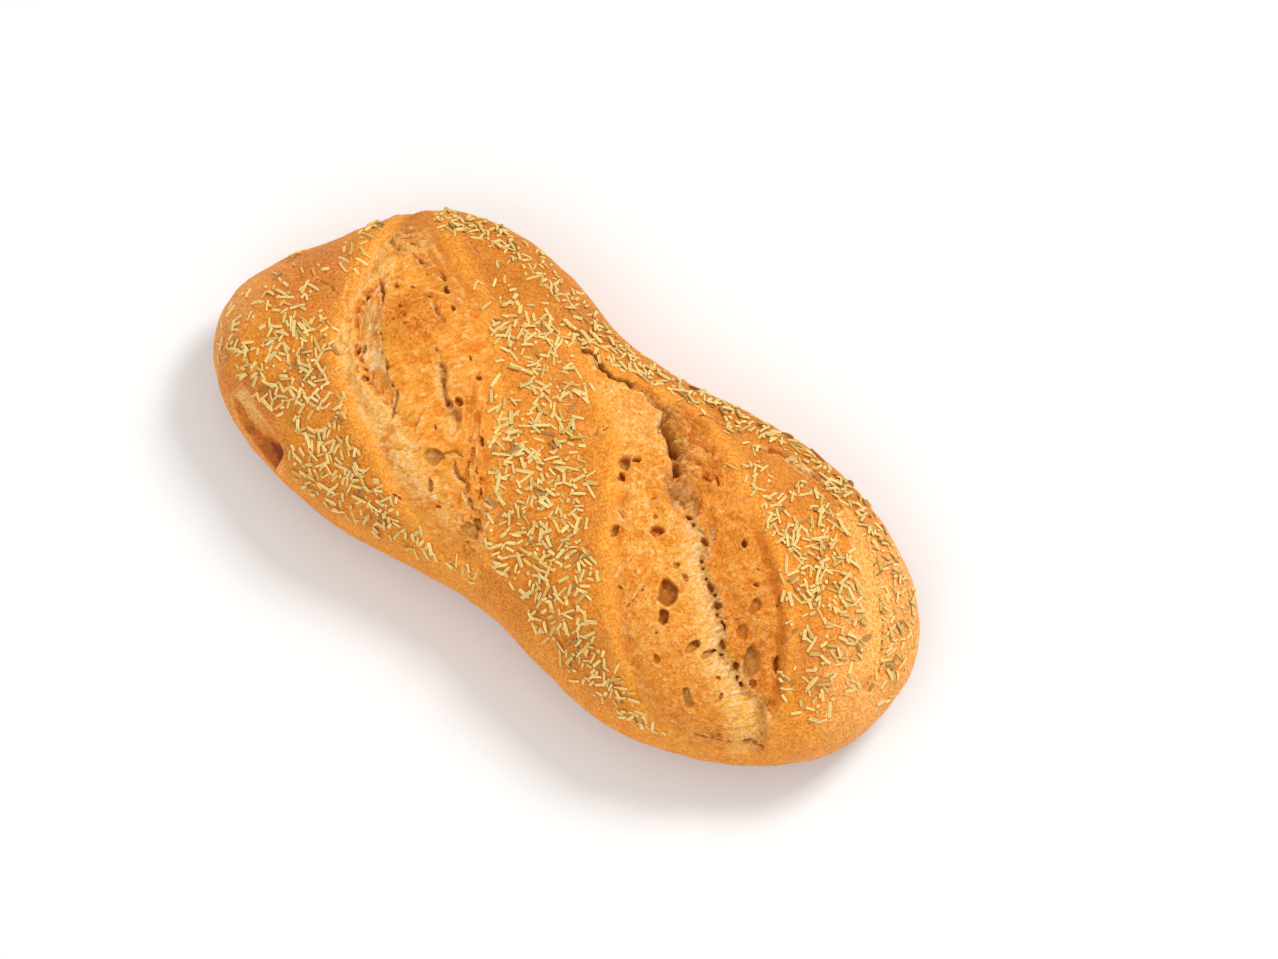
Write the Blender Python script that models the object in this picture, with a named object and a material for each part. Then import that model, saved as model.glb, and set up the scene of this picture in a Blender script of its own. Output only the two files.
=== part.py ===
"""Rosemary bread: one long baked loaf with a waist, two torn-open slashes and dried needles on top.

The loaf lies flat on its base, which is at z = 0, with its length along X and the middle of its
plan at x = y = 0. Its form is worked out in millimetres, then turned into metres.
"""
import math
import random

import bmesh
import bpy
import numpy as np
from mathutils import Matrix, Vector

MM = 0.001

# Driving sizes of the loaf
LENGTH = 299.8
WIDTH = 137.8
CROWN = 70.0                 # height of the crust over the two rounded ends
WAIST_DIP = 5.0              # how much lower the crust is at the waist
WIDEST_LEVEL = 24.0          # height of the widest line round the side
UNDERCUT = 33.0              # depth that the lower side would round to without the oven's floor
END_DOME = 2.7               # how late the crown falls towards the ends, 2 being a plain ellipse
END_UNDERCUT = 3.6           # the same for the lower side
TOP_ROUNDNESS = 0.93         # sections: 1 is an ellipse, less is squarer
LOW_ROUNDNESS = 0.7

# Outline seen from above, at the widest line: far side from left to right, then back
OUTLINE = (
    (-149.8, -15.6), (-142.7, 5.9), (-125.7, 32.2), (-103.5, 60.5), (-75.2, 68.9),
    (-45.5, 67.0), (-15.4, 58.4), (14.8, 57.5), (44.8, 61.6), (74.8, 62.2),
    (101.3, 57.0), (127.2, 44.2), (144.6, 25.1), (149.8, 2.5), (143.3, -26.4),
    (123.5, -47.2), (97.5, -61.1), (65.8, -68.8), (33.9, -65.0), (1.8, -59.0),
    (-30.2, -61.0), (-62.2, -64.5), (-94.2, -61.5), (-123.0, -52.4), (-142.9, -36.0),
)

# The two blooms where the slashes opened: their left and right edges in plan
BLOOM_1_LEFT = ((-110, 38), (-104, 6), (-97, -13), (-83, -28), (-52, -43), (-20, -54), (-6, -51))
BLOOM_1_RIGHT = ((-96, 52), (-80, 41), (-51, 22), (-34, 0), (-14, -32), (-5, -47))
BLOOM_2_LEFT = ((-22, 36), (16, 12), (38, -24), (70, -57), (101, -59), (125, -48))
BLOOM_2_RIGHT = ((7, 38), (24, 46), (55, 30), (84, 13), (108, -15), (124, -44))

# Crevices in the first bloom: path, depth and half width
CREVICES_1 = (
    (((-97, 6), (-94, -4), (-89, -13), (-82, -20), (-70, -27)), 3.0, 2.4),
    (((-96, 16), (-90, 8), (-87, -3), (-78, -6), (-64, -20), (-59, -28)), 5.0, 3.2),
    (((-60, 5), (-52, -4), (-39, -12), (-33, -20)), 6.5, 4.0),
    (((-32, -27), (-25, -32), (-18, -38), (-11, -44)), 4.0, 2.8),
    (((-98, 36), (-90, 32), (-83, 28)), 3.0, 3.0),
)

# The long crevice of the second bloom, which rises slowly to its right edge
TEAR_PATH = (
    (-22, 36), (-4, 35), (13, 39), (20, 34), (32, 17), (49, 9), (67, -4), (84, -20),
    (100, -27), (112, -32), (121, -45),
)
TEAR_DEPTH = ((0.0, 0.0), (0.18, 2.5), (0.33, 10.0), (0.45, 7.0), (0.6, 7.5), (0.85, 6.0), (1.0, 2.0))
TEAR_LIP = 1.6               # how proud the torn crust stands on the crevice's left
TEAR_RISE = 27.0             # width of the slope on the crevice's right

# Domes of dough that pushed up: centre, radius along X, radius along Y, height
DOMES = (
    (-72, 4, 17, 15, 3.0), (-50, -28, 15, 12, 1.8), (-40, 6, 9, 16, 1.5),
    (30, 10, 18, 16, 2.2), (62, -42, 22, 12, 2.0), (92, -6, 20, 9, 2.0),
)

# Burst bubbles: centre, radius along X, radius along Y, depth
PITS = (
    (-39, -30, 3.8, 3.2, 2.6), (-13, -43, 3.8, 3.2, 2.6), (23, 8, 2.6, 3.0, 2.8),
    (45, -7, 3.0, 2.6, 3.0), (33, -14, 2.6, 3.0, 2.6), (63, -24, 5.0, 4.2, 4.2),
    (67, -32, 3.2, 2.6, 3.0), (71, 12, 2.4, 3.0, 2.8), (102, -21, 4.6, 3.6, 3.4),
    (79, -33, 4.4, 2.6, 3.0), (86, -47, 5.4, 2.6, 2.8),
)

# Cracks and folds of the crust outside the blooms: path, depth and half width
CRUST_CRACKS = (
    (((108, 37), (121, 28), (131, 17), (139, 8)), 2.2, 2.2),
    (((143, 2), (139, -8), (137, -20), (128, -34)), 2.4, 2.6),
    (((65, 46), (75, 48), (87, 50), (98, 47)), 2.4, 2.4),
    (((84, -64), (97, -60), (112, -53), (122, -48)), 2.2, 2.2),
)

# Torn pocket low on the near side of the left end
POCKET_PATH = ((-120, -49), (-110, -54), (-100, -58), (-90, -61))
POCKET_DEPTH = 5.5
POCKET_HALF_WIDTH = 3.2

# Mesh of the crust, before and after it is thinned out
RINGS = 120
SEGMENTS = 104
CRUST_TRIANGLES = 5800

# Rosemary needles that are fused on
NEEDLE_COUNT = 235
NEEDLE_SEED = 11
NEEDLE_SPACING = 8.2
NEEDLE_LENGTH = (6.0, 8.0)
NEEDLE_WIDTH = 1.6
NEEDLE_THICKNESS = 1.6
NEEDLE_PROUD = 0.9           # how much of the thickness stands out of the crust
BARE_BAND = 14.0             # width in plan of the bare wall on the near side
FAR_BAND = 5.0               # the same on the far side, where needles reach further down

CRUST_COLOR = (0.72, 0.36, 0.11, 1.0)


def clear_scene():
    """Remove everything that the scene starts with."""
    for item in list(bpy.data.objects):
        bpy.data.objects.remove(item, do_unlink=True)


def closed_curve(points, steps):
    """Round off a closed outline with a Catmull-Rom curve."""
    current = np.array(points, float)
    before = np.roll(current, 1, axis=0)
    after = np.roll(current, -1, axis=0)
    beyond = np.roll(current, -2, axis=0)
    curve = []
    for step in range(steps):
        t = step / steps
        bend = 2 * before - 5 * current + 4 * after - beyond
        twist = 3 * current - before - 3 * after + beyond
        curve.append(0.5 * (2 * current + (after - before) * t + bend * t**2 + twist * t**3))
    return np.stack(curve, axis=1).reshape(-1, 2)


def smoothstep(low, high, value):
    """Go smoothly from 0 at low to 1 at high."""
    t = np.clip((value - low) / (high - low), 0.0, 1.0)
    return t * t * (3.0 - 2.0 * t)


def path_distance(path, x, y):
    """Give each point's distance to a path, its side (+1 left of travel) and its place along it."""
    path = np.array(path, float)
    lengths = np.linalg.norm(np.diff(path, axis=0), axis=1)
    total = lengths.sum()
    best = np.full(x.shape, 1e9)
    side = np.ones(x.shape)
    place = np.zeros(x.shape)
    done = 0.0
    for start, end, length in zip(path[:-1], path[1:], lengths):
        along = (end - start) / length
        run = np.clip((x - start[0]) * along[0] + (y - start[1]) * along[1], 0.0, length)
        gap_x = x - start[0] - run * along[0]
        gap_y = y - start[1] - run * along[1]
        gap = np.hypot(gap_x, gap_y)
        nearer = gap < best
        best = np.where(nearer, gap, best)
        side = np.where(nearer, np.sign(along[0] * gap_y - along[1] * gap_x + 1e-9), side)
        place = np.where(nearer, (done + run) / total, place)
        done += length
    return best, side, place


def inside_between(left, right, x, y):
    """Signed distance to a leaf-shaped bloom between two edges: positive inside it."""
    left_gap, left_side, _ = path_distance(left, x, y)
    right_gap, right_side, _ = path_distance(right, x, y)
    return np.minimum(left_gap * left_side, -right_gap * right_side)


def groove(path, depth, half_width, x, y):
    """Depth of a rounded groove along a path, which fades out at both of its ends."""
    gap, _, place = path_distance(path, x, y)
    fade = smoothstep(0.0, 0.15, place) * smoothstep(1.0, 0.85, place)
    return -depth * (0.35 + 0.65 * fade) * np.exp(-(gap / half_width) ** 2)


def torn_valley(x, y):
    """The second bloom's crevice: a proud lip and a cliff on its left, a slope on its right."""
    gap, side, place = path_distance(TEAR_PATH, x, y)
    signed = gap * side
    depth = np.interp(place, *zip(*TEAR_DEPTH))
    cliff = smoothstep(-3.5, 1.0, signed)
    slope = smoothstep(TEAR_RISE, 2.0, signed) ** 1.4
    lip = TEAR_LIP * np.exp(-((signed + 5.0) / 4.0) ** 2) * smoothstep(0.0, 4.0, depth)
    return lip - depth * cliff * slope


def relief(x, y):
    """How far the crust stands out of, or sinks into, the plain loaf at a place in plan."""
    bloom_1 = inside_between(BLOOM_1_LEFT, BLOOM_1_RIGHT, x, y)
    bloom_2 = inside_between(BLOOM_2_LEFT, BLOOM_2_RIGHT, x, y)
    height = np.zeros(x.shape)
    height -= 1.6 * np.exp(-((bloom_1 - 2.0) / 4.0) ** 2)
    height -= 1.6 * np.exp(-((bloom_2 - 2.0) / 4.0) ** 2)
    for path, depth, half_width in CREVICES_1:
        height += groove(path, depth, half_width, x, y)
    height += torn_valley(x, y)
    for centre_x, centre_y, radius_x, radius_y, rise in DOMES:
        away = ((x - centre_x) / radius_x) ** 2 + ((y - centre_y) / radius_y) ** 2
        height += rise * np.exp(-away)
    for centre_x, centre_y, radius_x, radius_y, depth in PITS:
        away = ((x - centre_x) / radius_x) ** 2 + ((y - centre_y) / radius_y) ** 2
        height -= depth * np.exp(-away ** 1.5)
    for path, depth, half_width in CRUST_CRACKS:
        height += groove(path, depth, half_width, x, y)
    return height + lumps(x, y)


def lumps(x, y):
    """Low uneven swellings of the hand-shaped dough."""
    broad = 0.7 * np.sin(x / 13.0 + 0.6) * np.sin(y / 11.0 + 1.1)
    fine = 0.35 * np.sin((x + y) / 6.1 + 0.4) * np.sin((x - y) / 7.3)
    return broad + fine


def plain_loaf(unit):
    """Move points of a unit sphere to the loaf's plain form, without its relief."""
    curve = closed_curve(OUTLINE, 40)
    left = int(np.argmin(curve[:, 0]))
    curve = np.roll(curve, -left, axis=0)
    right = int(np.argmax(curve[:, 0]))
    far = curve[:right + 1]
    near = np.vstack([curve[right:], curve[:1]])[::-1]
    half = LENGTH / 2.0
    turn = np.arccos(np.clip(unit[:, 0], -1.0, 1.0))
    x = np.clip(half * np.cos(turn) * (1.0 + 0.06 * np.sin(turn) ** 2), -half, half)
    far_y = np.interp(x, far[:, 0], far[:, 1])
    near_y = np.interp(x, near[:, 0], near[:, 1])
    centre = (far_y + near_y) / 2.0
    half_width = (far_y - near_y) / 2.0
    end = np.clip(np.abs(x) / half, 0.0, 1.0)
    waist = WAIST_DIP * np.exp(-((x - 5.0) / 45.0) ** 2)
    rise = (CROWN - waist - WIDEST_LEVEL) * (1.0 - end**END_DOME) ** 0.5
    drop = UNDERCUT * (1.0 - end**END_UNDERCUT) ** 0.45
    angle = np.arctan2(unit[:, 2], unit[:, 1])
    cosine = np.cos(angle)
    sine = np.sin(angle)
    y = centre + half_width * np.sign(cosine) * np.abs(cosine) ** TOP_ROUNDNESS
    z_top = WIDEST_LEVEL + rise * np.abs(sine)
    z_low = WIDEST_LEVEL - drop * np.abs(sine) ** LOW_ROUNDNESS
    z = np.where(sine >= 0.0, z_top, z_low)
    return np.stack([x, y, z], axis=1)


def read_points(mesh, kind):
    """Read a mesh's points or vertex normals as an array."""
    values = np.empty(len(mesh.vertices) * 3)
    if kind == "normal":
        mesh.vertex_normals.foreach_get("vector", values)
    else:
        mesh.vertices.foreach_get("co", values)
    return values.reshape(-1, 3)


def write_points(mesh, points):
    """Move a mesh's points."""
    mesh.vertices.foreach_set("co", np.asarray(points, np.float32).ravel())
    mesh.update()


def make_crust(collection):
    """Build the loaf's own solid: a sphere with its poles at the loaf's ends, formed by function."""
    mesh = bpy.data.meshes.new("loaf")
    sphere = bmesh.new()
    bmesh.ops.create_uvsphere(sphere, u_segments=SEGMENTS, v_segments=RINGS, radius=1.0,
                              matrix=Matrix.Rotation(math.pi / 2.0, 4, "Y"))
    bmesh.ops.triangulate(sphere, faces=sphere.faces[:])
    sphere.to_mesh(mesh)
    sphere.free()
    plain = plain_loaf(read_points(mesh, "point"))
    write_points(mesh, plain * MM)
    normals = read_points(mesh, "normal")
    strength = smoothstep(0.12, 0.5, normals[:, 2])
    height = relief(plain[:, 0], plain[:, 1]) * strength + pocket(plain)
    formed = plain + normals * height[:, None]
    formed[:, 2] = np.maximum(formed[:, 2], 0.0)
    write_points(mesh, formed * MM)
    loaf = bpy.data.objects.new("loaf", mesh)
    collection.objects.link(loaf)
    return loaf


def pocket(points):
    """The torn pocket, which bites into the side where the crust already turns down."""
    gap, _, place = path_distance(POCKET_PATH, points[:, 0], points[:, 1])
    fade = smoothstep(0.0, 0.2, place) * smoothstep(1.05, 0.9, place)
    upper = smoothstep(WIDEST_LEVEL, WIDEST_LEVEL + 6.0, points[:, 2])
    return -POCKET_DEPTH * fade * upper * np.exp(-(gap / POCKET_HALF_WIDTH) ** 4)


def apply_modifier(item, modifier_name):
    """Bake one modifier into its mesh."""
    with bpy.context.temp_override(object=item, active_object=item):
        bpy.ops.object.modifier_apply(modifier=modifier_name)


def thin_out(loaf):
    """Take away the triangles that the plain stretches of crust don't need."""
    modifier = loaf.modifiers.new("thin_out", "DECIMATE")
    modifier.ratio = CRUST_TRIANGLES / len(loaf.data.polygons)
    apply_modifier(loaf, modifier.name)


def wears_needles(x, y):
    """Say where needles lie: on the crust between and outside the blooms, off the bare wall."""
    here_x = np.array([x], float)
    here_y = np.array([y], float)
    if inside_between(BLOOM_1_LEFT, BLOOM_1_RIGHT, here_x, here_y)[0] > -4.0:
        return False
    if inside_between(BLOOM_2_LEFT, BLOOM_2_RIGHT, here_x, here_y)[0] > -4.0:
        return False
    curve = closed_curve(OUTLINE, 12)
    nearest = curve[np.argmin(np.hypot(curve[:, 0] - x, curve[:, 1] - y))]
    edge_gap = math.hypot(nearest[0] - x, nearest[1] - y)
    bare = BARE_BAND if nearest[1] < 0.0 else FAR_BAND
    if x > 96.0 and y < -28.0:
        return False
    return edge_gap > bare


def needle_places():
    """Draw places over the needle bands, one at a time, none too near another."""
    draw = random.Random(NEEDLE_SEED)
    curve = closed_curve(OUTLINE, 12)
    places = []
    tries = 0
    while len(places) < NEEDLE_COUNT and tries < 20000:
        tries += 1
        x = draw.uniform(-LENGTH / 2.0, LENGTH / 2.0)
        y = draw.uniform(-WIDTH / 2.0, WIDTH / 2.0)
        if abs(y) > np.abs(curve[:, 1]).max() or not wears_needles(x, y):
            continue
        if any(math.hypot(x - a, y - b) < NEEDLE_SPACING for a, b, _, _ in places):
            continue
        places.append((x, y, draw.uniform(0.0, math.pi), draw.uniform(*NEEDLE_LENGTH)))
    return places


def make_needles(loaf, collection):
    """Lay needles on the crust, each turned its own way and sunk in by part of its thickness."""
    needles = []
    for x, y, turn, length in needle_places():
        start = Vector((x * MM, y * MM, 0.2))
        hit, point, normal, _ = loaf.ray_cast(start, Vector((0.0, 0.0, -1.0)))
        if not hit or normal.z < 0.35:
            continue
        along = Vector((math.cos(turn), math.sin(turn), 0.0))
        along = (along - normal * along.dot(normal)).normalized()
        across = normal.cross(along)
        lift = (NEEDLE_PROUD - NEEDLE_THICKNESS / 2.0) * MM
        place = Matrix.Translation(point + normal * lift)
        place @= Matrix((along, across, normal)).transposed().to_4x4()
        box = bmesh.new()
        bmesh.ops.create_cube(box, size=1.0)
        bmesh.ops.scale(box, verts=box.verts, vec=(length * MM, NEEDLE_WIDTH * MM, NEEDLE_THICKNESS * MM))
        mesh = bpy.data.meshes.new("needle")
        box.to_mesh(mesh)
        box.free()
        needle = bpy.data.objects.new(f"needle_{len(needles):03d}", mesh)
        needle.matrix_world = place
        collection.objects.link(needle)
        needles.append(needle)
    return needles


def fuse(loaf, needles, collection):
    """Join the needles to the crust in one union, then take the loose ones away."""
    modifier = loaf.modifiers.new("fuse_needles", "BOOLEAN")
    modifier.operation = "UNION"
    modifier.operand_type = "COLLECTION"
    modifier.collection = collection
    modifier.solver = "EXACT"
    bpy.context.view_layer.update()
    apply_modifier(loaf, modifier.name)
    for needle in needles:
        bpy.data.objects.remove(needle, do_unlink=True)
    bpy.data.collections.remove(collection)


def settle(loaf):
    """Put the middle of the loaf's plan at x = y = 0 and its base at z = 0."""
    points = read_points(loaf.data, "point")
    low = points.min(axis=0)
    high = points.max(axis=0)
    middle = (low + high) / 2.0
    write_points(loaf.data, points - np.array([middle[0], middle[1], low[2]]))


def crust_material():
    """Golden brown baked crust."""
    material = bpy.data.materials.new("baked_crust")
    material.use_nodes = True
    shader = material.node_tree.nodes["Principled BSDF"]
    shader.inputs["Base Color"].default_value = CRUST_COLOR
    shader.inputs["Roughness"].default_value = 0.62
    shader.inputs["Metallic"].default_value = 0.0
    return material


def build():
    """Make the whole loaf."""
    clear_scene()
    parts = bpy.data.collections.new("rosemary_bread")
    toppings = bpy.data.collections.new("loose_needles")
    bpy.context.scene.collection.children.link(parts)
    bpy.context.scene.collection.children.link(toppings)
    loaf = make_crust(parts)
    thin_out(loaf)
    needles = make_needles(loaf, toppings)
    fuse(loaf, needles, toppings)
    settle(loaf)
    loaf.data.materials.clear()
    loaf.data.materials.append(crust_material())
    loaf.data.shade_smooth()
    loaf.data.set_sharp_from_angle(angle=math.radians(40.0))


build()
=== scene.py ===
"""The looks of a rosemary bread: crust, torn-open slashes and the dried needles scattered on it.

Sizes are in millimetres in the loaf's own frame, as seen from above: +X along the loaf, +Y to its
far side. They are turned into metres where a mesh is written.
"""

import math
import random

import bmesh
import bpy
import numpy as np
from mathutils import Matrix, Vector
from mathutils.bvhtree import BVHTree


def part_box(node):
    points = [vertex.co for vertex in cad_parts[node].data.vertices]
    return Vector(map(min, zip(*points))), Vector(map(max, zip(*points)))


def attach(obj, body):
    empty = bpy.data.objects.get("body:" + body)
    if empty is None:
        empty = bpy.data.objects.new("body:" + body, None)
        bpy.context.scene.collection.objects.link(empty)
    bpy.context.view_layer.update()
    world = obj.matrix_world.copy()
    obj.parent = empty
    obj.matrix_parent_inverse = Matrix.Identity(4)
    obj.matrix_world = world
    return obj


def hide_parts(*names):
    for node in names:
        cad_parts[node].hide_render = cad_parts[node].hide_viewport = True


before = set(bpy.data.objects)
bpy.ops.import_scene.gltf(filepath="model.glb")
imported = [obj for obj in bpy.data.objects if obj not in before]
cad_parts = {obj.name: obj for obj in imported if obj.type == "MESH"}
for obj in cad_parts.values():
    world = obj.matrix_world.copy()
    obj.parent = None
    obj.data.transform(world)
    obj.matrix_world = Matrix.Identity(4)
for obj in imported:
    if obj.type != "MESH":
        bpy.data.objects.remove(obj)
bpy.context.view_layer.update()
LOAF_LOW, LOAF_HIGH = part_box("loaf")

MM = 0.001

# Driving sizes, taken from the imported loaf
DESIGN_LENGTH = 299.7
DESIGN_WIDTH = 138.2
STRETCH_X = (LOAF_HIGH.x - LOAF_LOW.x) / MM / DESIGN_LENGTH
STRETCH_Y = (LOAF_HIGH.y - LOAF_LOW.y) / MM / DESIGN_WIDTH
LENGTH = 299.8
CROWN = 70.0                 # height of the crust over the two rounded ends
WAIST_DIP = 5.0              # how much lower the crust is at the waist
WIDEST_LEVEL = 24.0          # height of the widest line round the side
UNDERCUT = 33.0              # depth that the lower side would round to without the oven's floor
END_DOME = 2.7               # how late the crown falls towards the ends, 2 being a plain ellipse
END_UNDERCUT = 3.6           # the same for the lower side
TOP_ROUNDNESS = 0.93         # sections: 1 is an ellipse, less is squarer
LOW_ROUNDNESS = 0.7

# Outline seen from above, at the widest line: far side from left to right, then back
OUTLINE = (
    (-149.8, -15.6), (-142.7, 5.9), (-125.7, 32.2), (-103.5, 60.5), (-75.2, 68.9),
    (-45.5, 67.0), (-15.4, 58.4), (14.8, 57.5), (44.8, 61.6), (74.8, 62.2),
    (101.3, 57.0), (127.2, 44.2), (144.6, 25.1), (149.8, 2.5), (143.3, -26.4),
    (123.5, -47.2), (97.5, -61.1), (65.8, -68.8), (33.9, -65.0), (1.8, -59.0),
    (-30.2, -61.0), (-62.2, -64.5), (-94.2, -61.5), (-123.0, -52.4), (-142.9, -36.0),
)

# The two blooms where the slashes opened: their left and right edges
BLOOM_1_LEFT = (
    (-113, 62), (-110, 38), (-108, 24), (-104, 6), (-97, -13), (-83, -28), (-68, -34),
    (-52, -43), (-36, -50), (-20, -54), (-6, -51),
)
BLOOM_1_RIGHT = (
    (-103, 62), (-99, 52), (-82, 41), (-65, 33), (-51, 22), (-34, 0), (-24, -16), (-14, -32),
    (-5, -47),
)
BLOOM_2_LEFT = (
    (-26, 38), (-10, 30), (4, 22), (16, 12), (25, -6), (34, -20), (42, -32), (56, -46), (70, -57),
    (83, -62), (101, -59), (125, -48),
)
BLOOM_2_RIGHT = (
    (-26, 38), (7, 40), (24, 46), (39, 39), (55, 30), (70, 22), (84, 13), (97, 0), (108, -15),
    (116, -31), (124, -44),
)

# First bloom: a bulge of dough, with a sunken trough on its left between a crease and a cliff
BULGE_CREASE = (
    (-97, 18), (-99, 9), (-98, 0), (-93, -6), (-87, -13), (-78, -19), (-69, -22), (-63, -23),
)
BULGE_CLIFF = (
    (-96, 19), (-94, 14), (-92, 10), (-89, 5), (-86, 1), (-82, -4), (-78, -9), (-70, -14), (-62, -22),
)
TROUGH_DEPTH = 1.7
CREASE_DEPTH = 1.3
BULGE = (-77, 9, 14, 12)     # centre, then radius along X and along Y
CREVICES = (
    # path, depth, width on the left of its travel, width on the right, how broken it is
    (((-98, 17), (-94, 13), (-91, 9)), 2.4, 0.9, 1.0, 0.2),
    (((-91, 9), (-93, 4), (-92, -1)), 1.4, 0.9, 1.1, 0.5),
    (((-88, 5), (-83, -2), (-78, -8)), 1.1, 0.5, 0.7, 0.9),
    (((-76, -9), (-72, -13), (-68, -16)), 1.6, 1.0, 1.2, 0.4),
    (((-62, 5), (-56, 0), (-51, -6), (-47, -10)), 2.4, 1.0, 2.4, 0.3),
    (((-32, -26), (-29, -29), (-24, -31), (-20, -35), (-16, -39)), 2.4, 0.7, 1.3, 0.35),
    (((-109, 38), (-106, 33), (-101, 31), (-96, 32), (-90, 32), (-84, 28)), 1.2, 0.7, 1.6, 0.75),
    (((-78, 20), (-73, 18), (-66, 15)), 1.5, 1.2, 0.8, 0.4),
    (((-104, 38), (-100, 41)), 1.8, 1.0, 1.0, 0.2),
    (((-37, -26), (-34, -23), (-31, -23)), 1.6, 1.0, 0.9, 0.3),
    (((-66, -17), (-63, -21), (-61, -26)), 2.2, 0.8, 1.1, 0.4),
)
FOLDS = (
    # path, height, half width, side of its valley with painted shade, 1 being the left of its travel
    (((-44, 8), (-45, 0), (-48, -5), (-49, -10)), 1.2, 0.9, 1),
    (((-49, -14), (-52, -17), (-51, -22), (-50, -27)), 1.2, 0.7, -1),
    (((-100, 20), (-102, 9), (-101, -2), (-96, -9), (-90, -16), (-80, -22)), 1.0, 1.2, 1),
    (((-111, 25), (-110, 13), (-105, 2), (-95, -11), (-85, -19), (-75, -24), (-63, -28)), 0.8, 0.9, 1),
    (((-60, -6), (-66, -4), (-70, -5)), 0.8, 1.1, 1),
    (((-98, 17), (-92, 19), (-85, 20), (-77, 22), (-69, 25), (-64, 25), (-59, 20), (-56, 11)), 1.1, 1.0, -1),
    (((-98, 43), (-86, 37), (-74, 33), (-64, 26)), 1.0, 1.2, -1),
    (((-36, -6), (-30, -15), (-24, -24), (-15, -37)), 1.0, 1.2, 1),
    (((-30, 4), (-24, -7), (-18, -17), (-10, -30)), 0.8, 1.0, -1),
)

# Second bloom: the tear from its first crack to its end, with its depth and its slopes' widths
# at places along it, from 0 to 1
TEAR_PATH = (
    (-26, 41), (-19, 38), (-13, 38), (-5, 37), (2, 38), (8, 40), (15, 37), (20, 33), (24, 28),
    (29, 25), (34, 20), (37, 15), (40, 10), (52, 7), (61, 2), (66, -6), (73, -11), (79, -15), (85, -20),
    (90, -28), (98, -31), (103, -34), (111, -35),
)
TEAR_DEPTH = (
    (0.0, 1.2), (0.06, 2.8), (0.11, 4.0), (0.17, 4.4), (0.2, 2.0), (0.24, 4.6), (0.29, 6.8), (0.34, 9.0),
    (0.42, 5.5), (0.48, 6.5), (0.56, 5.0), (0.80, 4.6), (0.92, 5.0), (1.0, 3.5),
)
TEAR_LEFT_SLOPE = ((0.0, 0.8), (0.25, 1.2), (0.42, 2.0), (0.48, 4.0), (0.58, 7.0), (1.0, 8.0))
TEAR_RIGHT_SLOPE = (
    (0.0, 0.7), (0.05, 1.5), (0.12, 2.3), (0.17, 2.6), (0.2, 2.0), (0.25, 3.0), (0.3, 4.6), (0.38, 5.5),
    (0.46, 7.0), (0.52, 16.0), (0.8, 20.0), (1.0, 15.0),
)
BEADS = (
    # holes strung along the floor of the tear's lower half: place, half width, half length
    (51, 7, 0.9, 0.9), (54, 5, 0.7, 0.8), (61, 2, 0.9, 1.5), (65, -5, 0.6, 0.9), (67, -7, 0.4, 0.5),
    (70, -9, 0.6, 0.7), (73, -11, 0.7, 1.9), (76, -12, 0.5, 0.5), (79, -15, 0.9, 1.4),
    (81, -18, 0.4, 0.5), (85, -20, 0.5, 1.8), (89, -26, 1.0, 1.5), (91, -29, 0.6, 0.6),
    (98, -30, 1.0, 1.3), (101, -33, 0.5, 0.6), (103, -34, 0.6, 0.5),
)
TEAR_LIP = 1.3               # how proud the torn crust stands on the tear's left
TEAR_OVERHANG = 0.7          # how far that lip leans over the tear
CAVITIES = (
    # deep holes down in the tear: path, depth, half width
    (((10, 41), (15, 39), (20, 35)), 2.4, 1.6),
    (((24, 31), (26, 29), (29, 27)), 4.2, 2.0),
    (((31, 26), (33, 24)), 3.2, 1.2),
    (((34, 25), (36, 25)), 2.2, 0.9),
    (((36, 19), (38, 17)), 3.0, 1.6),
    (((43, 11), (48, 12)), 2.2, 2.4),
    (((50, 13), (52, 10)), 2.0, 1.2),
    (((61, 9), (63, 6)), 1.6, 1.3),
)
BEAD_DEPTH = 2.2
BEAD_TURN = -45.0            # direction of the floor that the holes follow, in degrees
PALE_HOLLOW = (45, 11, 7, 4.5)           # centre, then radius along X and along Y
END_CLIFF = ((111, -31), (115, -36), (118, -40), (123, -47))
END_CLIFF_DEPTH = 3.6
DITCH_DEPTH = 1.2
CROSS_FOLD = ((36, 13), (42, 15), (48, 18), (58, 22))
CROSS_FOLD_HEIGHT = 3.0
RIGHT_RIDGE_HEIGHT = 1.3
RIGHT_RIDGE = ((50, 34), (59, 27), (71, 15), (86, 4), (97, -7), (106, -20), (112, -30))

# How the crust dips inside a bloom's edge and stands up outside it
EDGE_DIP = 1.4
EDGE_RISE = 0.6

# Patches of a colour of their own: centre, then radius along X and along Y
TOAST_PATCH = (-62, 42, 17, 10)
STREAKED_PATCH = (-99, 36, 10, 7)
GREY_PATCH = (-89, 1, 7, 8)
CRUMB_PATCH = (-79, -10, 6, 4.5)
OLIVE_PATCH = (-71, -14, 5, 4)
BRIGHT_PATCH = (12, 25, 20, 14)

# Middle of a pale burst bubble at the right end
PALE_BUBBLE = (142, 7)

# Directions in plan of the strands that cross the first bloom and of those that run down it
CROSS_STRANDS = 56.0
DOWN_STRANDS = 122.0

# How the edges of things wander: strength and size of a coarse and a fine noise
WOBBLE = ((0.8, 4.3), (0.5, 1.7))
TORN_WOBBLE = ((1.1, 4.8), (0.8, 1.6))
PIT_WOBBLE = ((0.8, 3.2), (0.35, 1.3))

# Domes of dough that pushed up: centre, radius along X, radius along Y, height
DOMES = (
    (-72, 4, 17, 15, 3.0), (-50, -28, 15, 12, 1.8), (-40, 6, 9, 16, 1.5),
    (30, 10, 18, 16, 2.2), (62, -42, 22, 12, 2.0), (92, -6, 20, 9, 1.6),
)

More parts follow.
